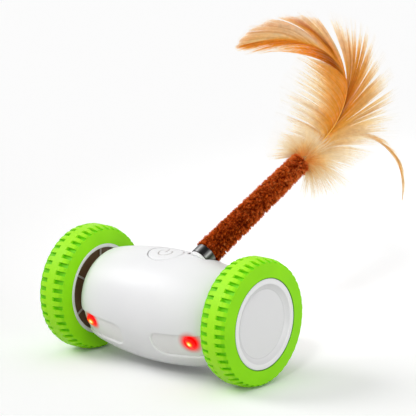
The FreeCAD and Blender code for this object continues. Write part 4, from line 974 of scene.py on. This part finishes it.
def down(shader):
    """Loose wisps of down that fan out round the feathers' roots, longest on the lower side."""
    fibres = Fibres()
    for wisp in range(DOWN_WISPS):
        turn = random.uniform(-1, 1)
        middle = math.radians(-135 + 255 * (wisp + random.random()) / DOWN_WISPS)
        out = math.radians(random.uniform(-34, 34))
        lower = max(0.0, -math.sin(middle))
        length = random.uniform(13, 20) + lower * random.uniform(2, 11)
        length += 7 * max(0.0, math.cos(middle + 0.9)) ** 4
        length *= 1 - 0.22 * abs(math.sin(out))
        tone = random.uniform(-0.18, 0.15)
        for _ in range(WISP_FIBRES):
            angle = middle + random.gauss(0, 0.07)
            side = out + random.gauss(0, 0.08)
            reach = length * random.uniform(0.6, 1.0)
            way = TAIL * math.cos(angle) + SIDEWAYS * math.sin(angle)
            way = way * math.cos(side) + FACING * math.sin(side)
            sag = SIDEWAYS * (turn * 0.16 * reach) + FACING * (random.uniform(-0.1, 0.1) * reach)
            root = in_plane(random.uniform(-0.4, 3.4), 2.0 * math.sin(middle) + random.uniform(-1, 1),
                            2.0 * math.sin(out) + random.uniform(-1, 1))
            line, shades = [], []
            for step in range(8):
                t = step / 7
                line.append(root + TAIL * (2.0 * math.sin(math.pi * t)) + way * (reach * t) + sag * t * t)
                # amber at the roots: partly the down's own colour, partly painted shade where the wisps gather
                shades.append(toned(along_barb(t, AMBER, STRAW, CREAM, CREAM), tone * (1 - 0.6 * t)))
            width = random.uniform(0.12, 0.2)
            fibres.add(line, width, FACING + way.orthogonal() * random.uniform(-0.5, 0.5), shades)
    fibres.build("feather_down", shader, "tail", "feather")


# Studio


FLOOR_HALF = 6.0
FLOOR_LIT = (0.66, 0.66, 0.66, 1)
FLOOR_SEEN = (1.14, 1.14, 1.14, 1)
WORLD_LIT = 0.6
WORLD_SEEN = 1.0
SUNS = (("key_light", (-0.9, -0.5, 0.88), 1.08, 30), ("fill_light", (1.0, -0.25, 0.15), 0.6, 25))
SPOT_PLACE = Vector((350, -600, 750)) * MM
SPOT_AIM = (TAIL_END + TAIL * 38 + SIDEWAYS * 22) * MM
CAMERA_PLACE = Vector((842.8, -986.5, 390.9)) * MM
CAMERA_AIM = Vector((24.80, 0.0, 84.73)) * MM


def seen_plainly(tree):
    """1 for rays that reach the background from the camera, off a shiny surface or through glass."""
    rays = tree.nodes.new("ShaderNodeLightPath")
    seen = rays.outputs["Is Camera Ray"]
    for kind in ("Is Glossy Ray", "Is Transmission Ray"):
        either = tree.nodes.new("ShaderNodeMath")
        either.operation = "MAXIMUM"
        tree.links.new(seen, either.inputs[0])
        tree.links.new(rays.outputs[kind], either.inputs[1])
        seen = either.outputs[0]
    return seen


def stand(name, thing, place, way, front="Z"):
    """Put a lamp or the camera at a place in metres, with one of its axes along a direction."""
    holder = bpy.data.objects.new(name, thing)
    holder.location = place
    holder.rotation_euler = way.to_track_quat(front, "Y").to_euler()
    bpy.context.collection.objects.link(holder)
    return holder


def white_floor():
    """Floor that takes the object's shadow and looks white to the camera."""
    half = FLOOR_HALF
    mesh = bpy.data.meshes.new("studio_floor")
    corners = [(-half, -half, 0), (half, -half, 0), (half, half, 0), (-half, half, 0)]
    mesh.from_pydata(corners, [], [(0, 1, 2, 3)])
    shader = Shader("studio_floor")
    shader.set(Base_Color=FLOOR_LIT, Roughness=0.9, Specular_IOR_Level=0.0)
    pale = shader.add("ShaderNodeBsdfDiffuse")
    pale.inputs["Color"].default_value = FLOOR_SEEN
    choose = shader.add("ShaderNodeMixShader")
    shader.link(seen_plainly(shader.tree), choose.inputs[0])
    shader.link(shader.surface.outputs[0], choose.inputs[1])
    shader.link(pale.outputs[0], choose.inputs[2])
    shader.link(choose.outputs[0], shader.tree.nodes["Material Output"].inputs["Surface"])
    mesh.materials.append(shader.material)
    floor = bpy.data.objects.new("studio_floor", mesh)
    bpy.context.collection.objects.link(floor)


def pale_world():
    """World light that is weaker on the object than where it is seen."""
    world = bpy.data.worlds.new("studio_world")
    bpy.context.scene.world = world
    world.use_nodes = True
    tree = world.node_tree
    strength = tree.nodes.new("ShaderNodeMapRange")
    strength.inputs["To Min"].default_value = WORLD_LIT
    strength.inputs["To Max"].default_value = WORLD_SEEN
    tree.links.new(seen_plainly(tree), strength.inputs["Value"])
    tree.links.new(strength.outputs["Result"], tree.nodes["Background"].inputs["Strength"])
    tree.nodes["Background"].inputs["Color"].default_value = (1, 1, 1, 1)


def lamps():
    """Two soft suns, and a spot that lights the feathers."""
    for name, place, power, spread in SUNS:
        lamp = bpy.data.lights.new(name, "SUN")
        lamp.energy = power
        lamp.angle = math.radians(spread)
        stand(name, lamp, place, Vector(place))
    lamp = bpy.data.lights.new("feather_light", "SPOT")
    lamp.energy = 43.0
    lamp.spot_size = math.radians(11)
    lamp.spot_blend = 0.7
    lamp.shadow_soft_size = 0.15
    stand("feather_light", lamp, SPOT_PLACE, SPOT_PLACE - SPOT_AIM)


def studio():
    """Floor, world, lamps and the camera."""
    white_floor()
    pale_world()
    lamps()
    camera = bpy.data.cameras.new("camera")
    camera.lens = 232.8
    camera.sensor_width = 36.0
    camera.clip_end = 20.0
    bpy.context.scene.camera = stand("camera", camera, CAMERA_PLACE, CAMERA_AIM - CAMERA_PLACE, "-Z")
    bpy.context.scene.view_settings.view_transform = "Standard"


dress_nodes()
power_button()
plush()
wound_thread()
feathers()
studio()
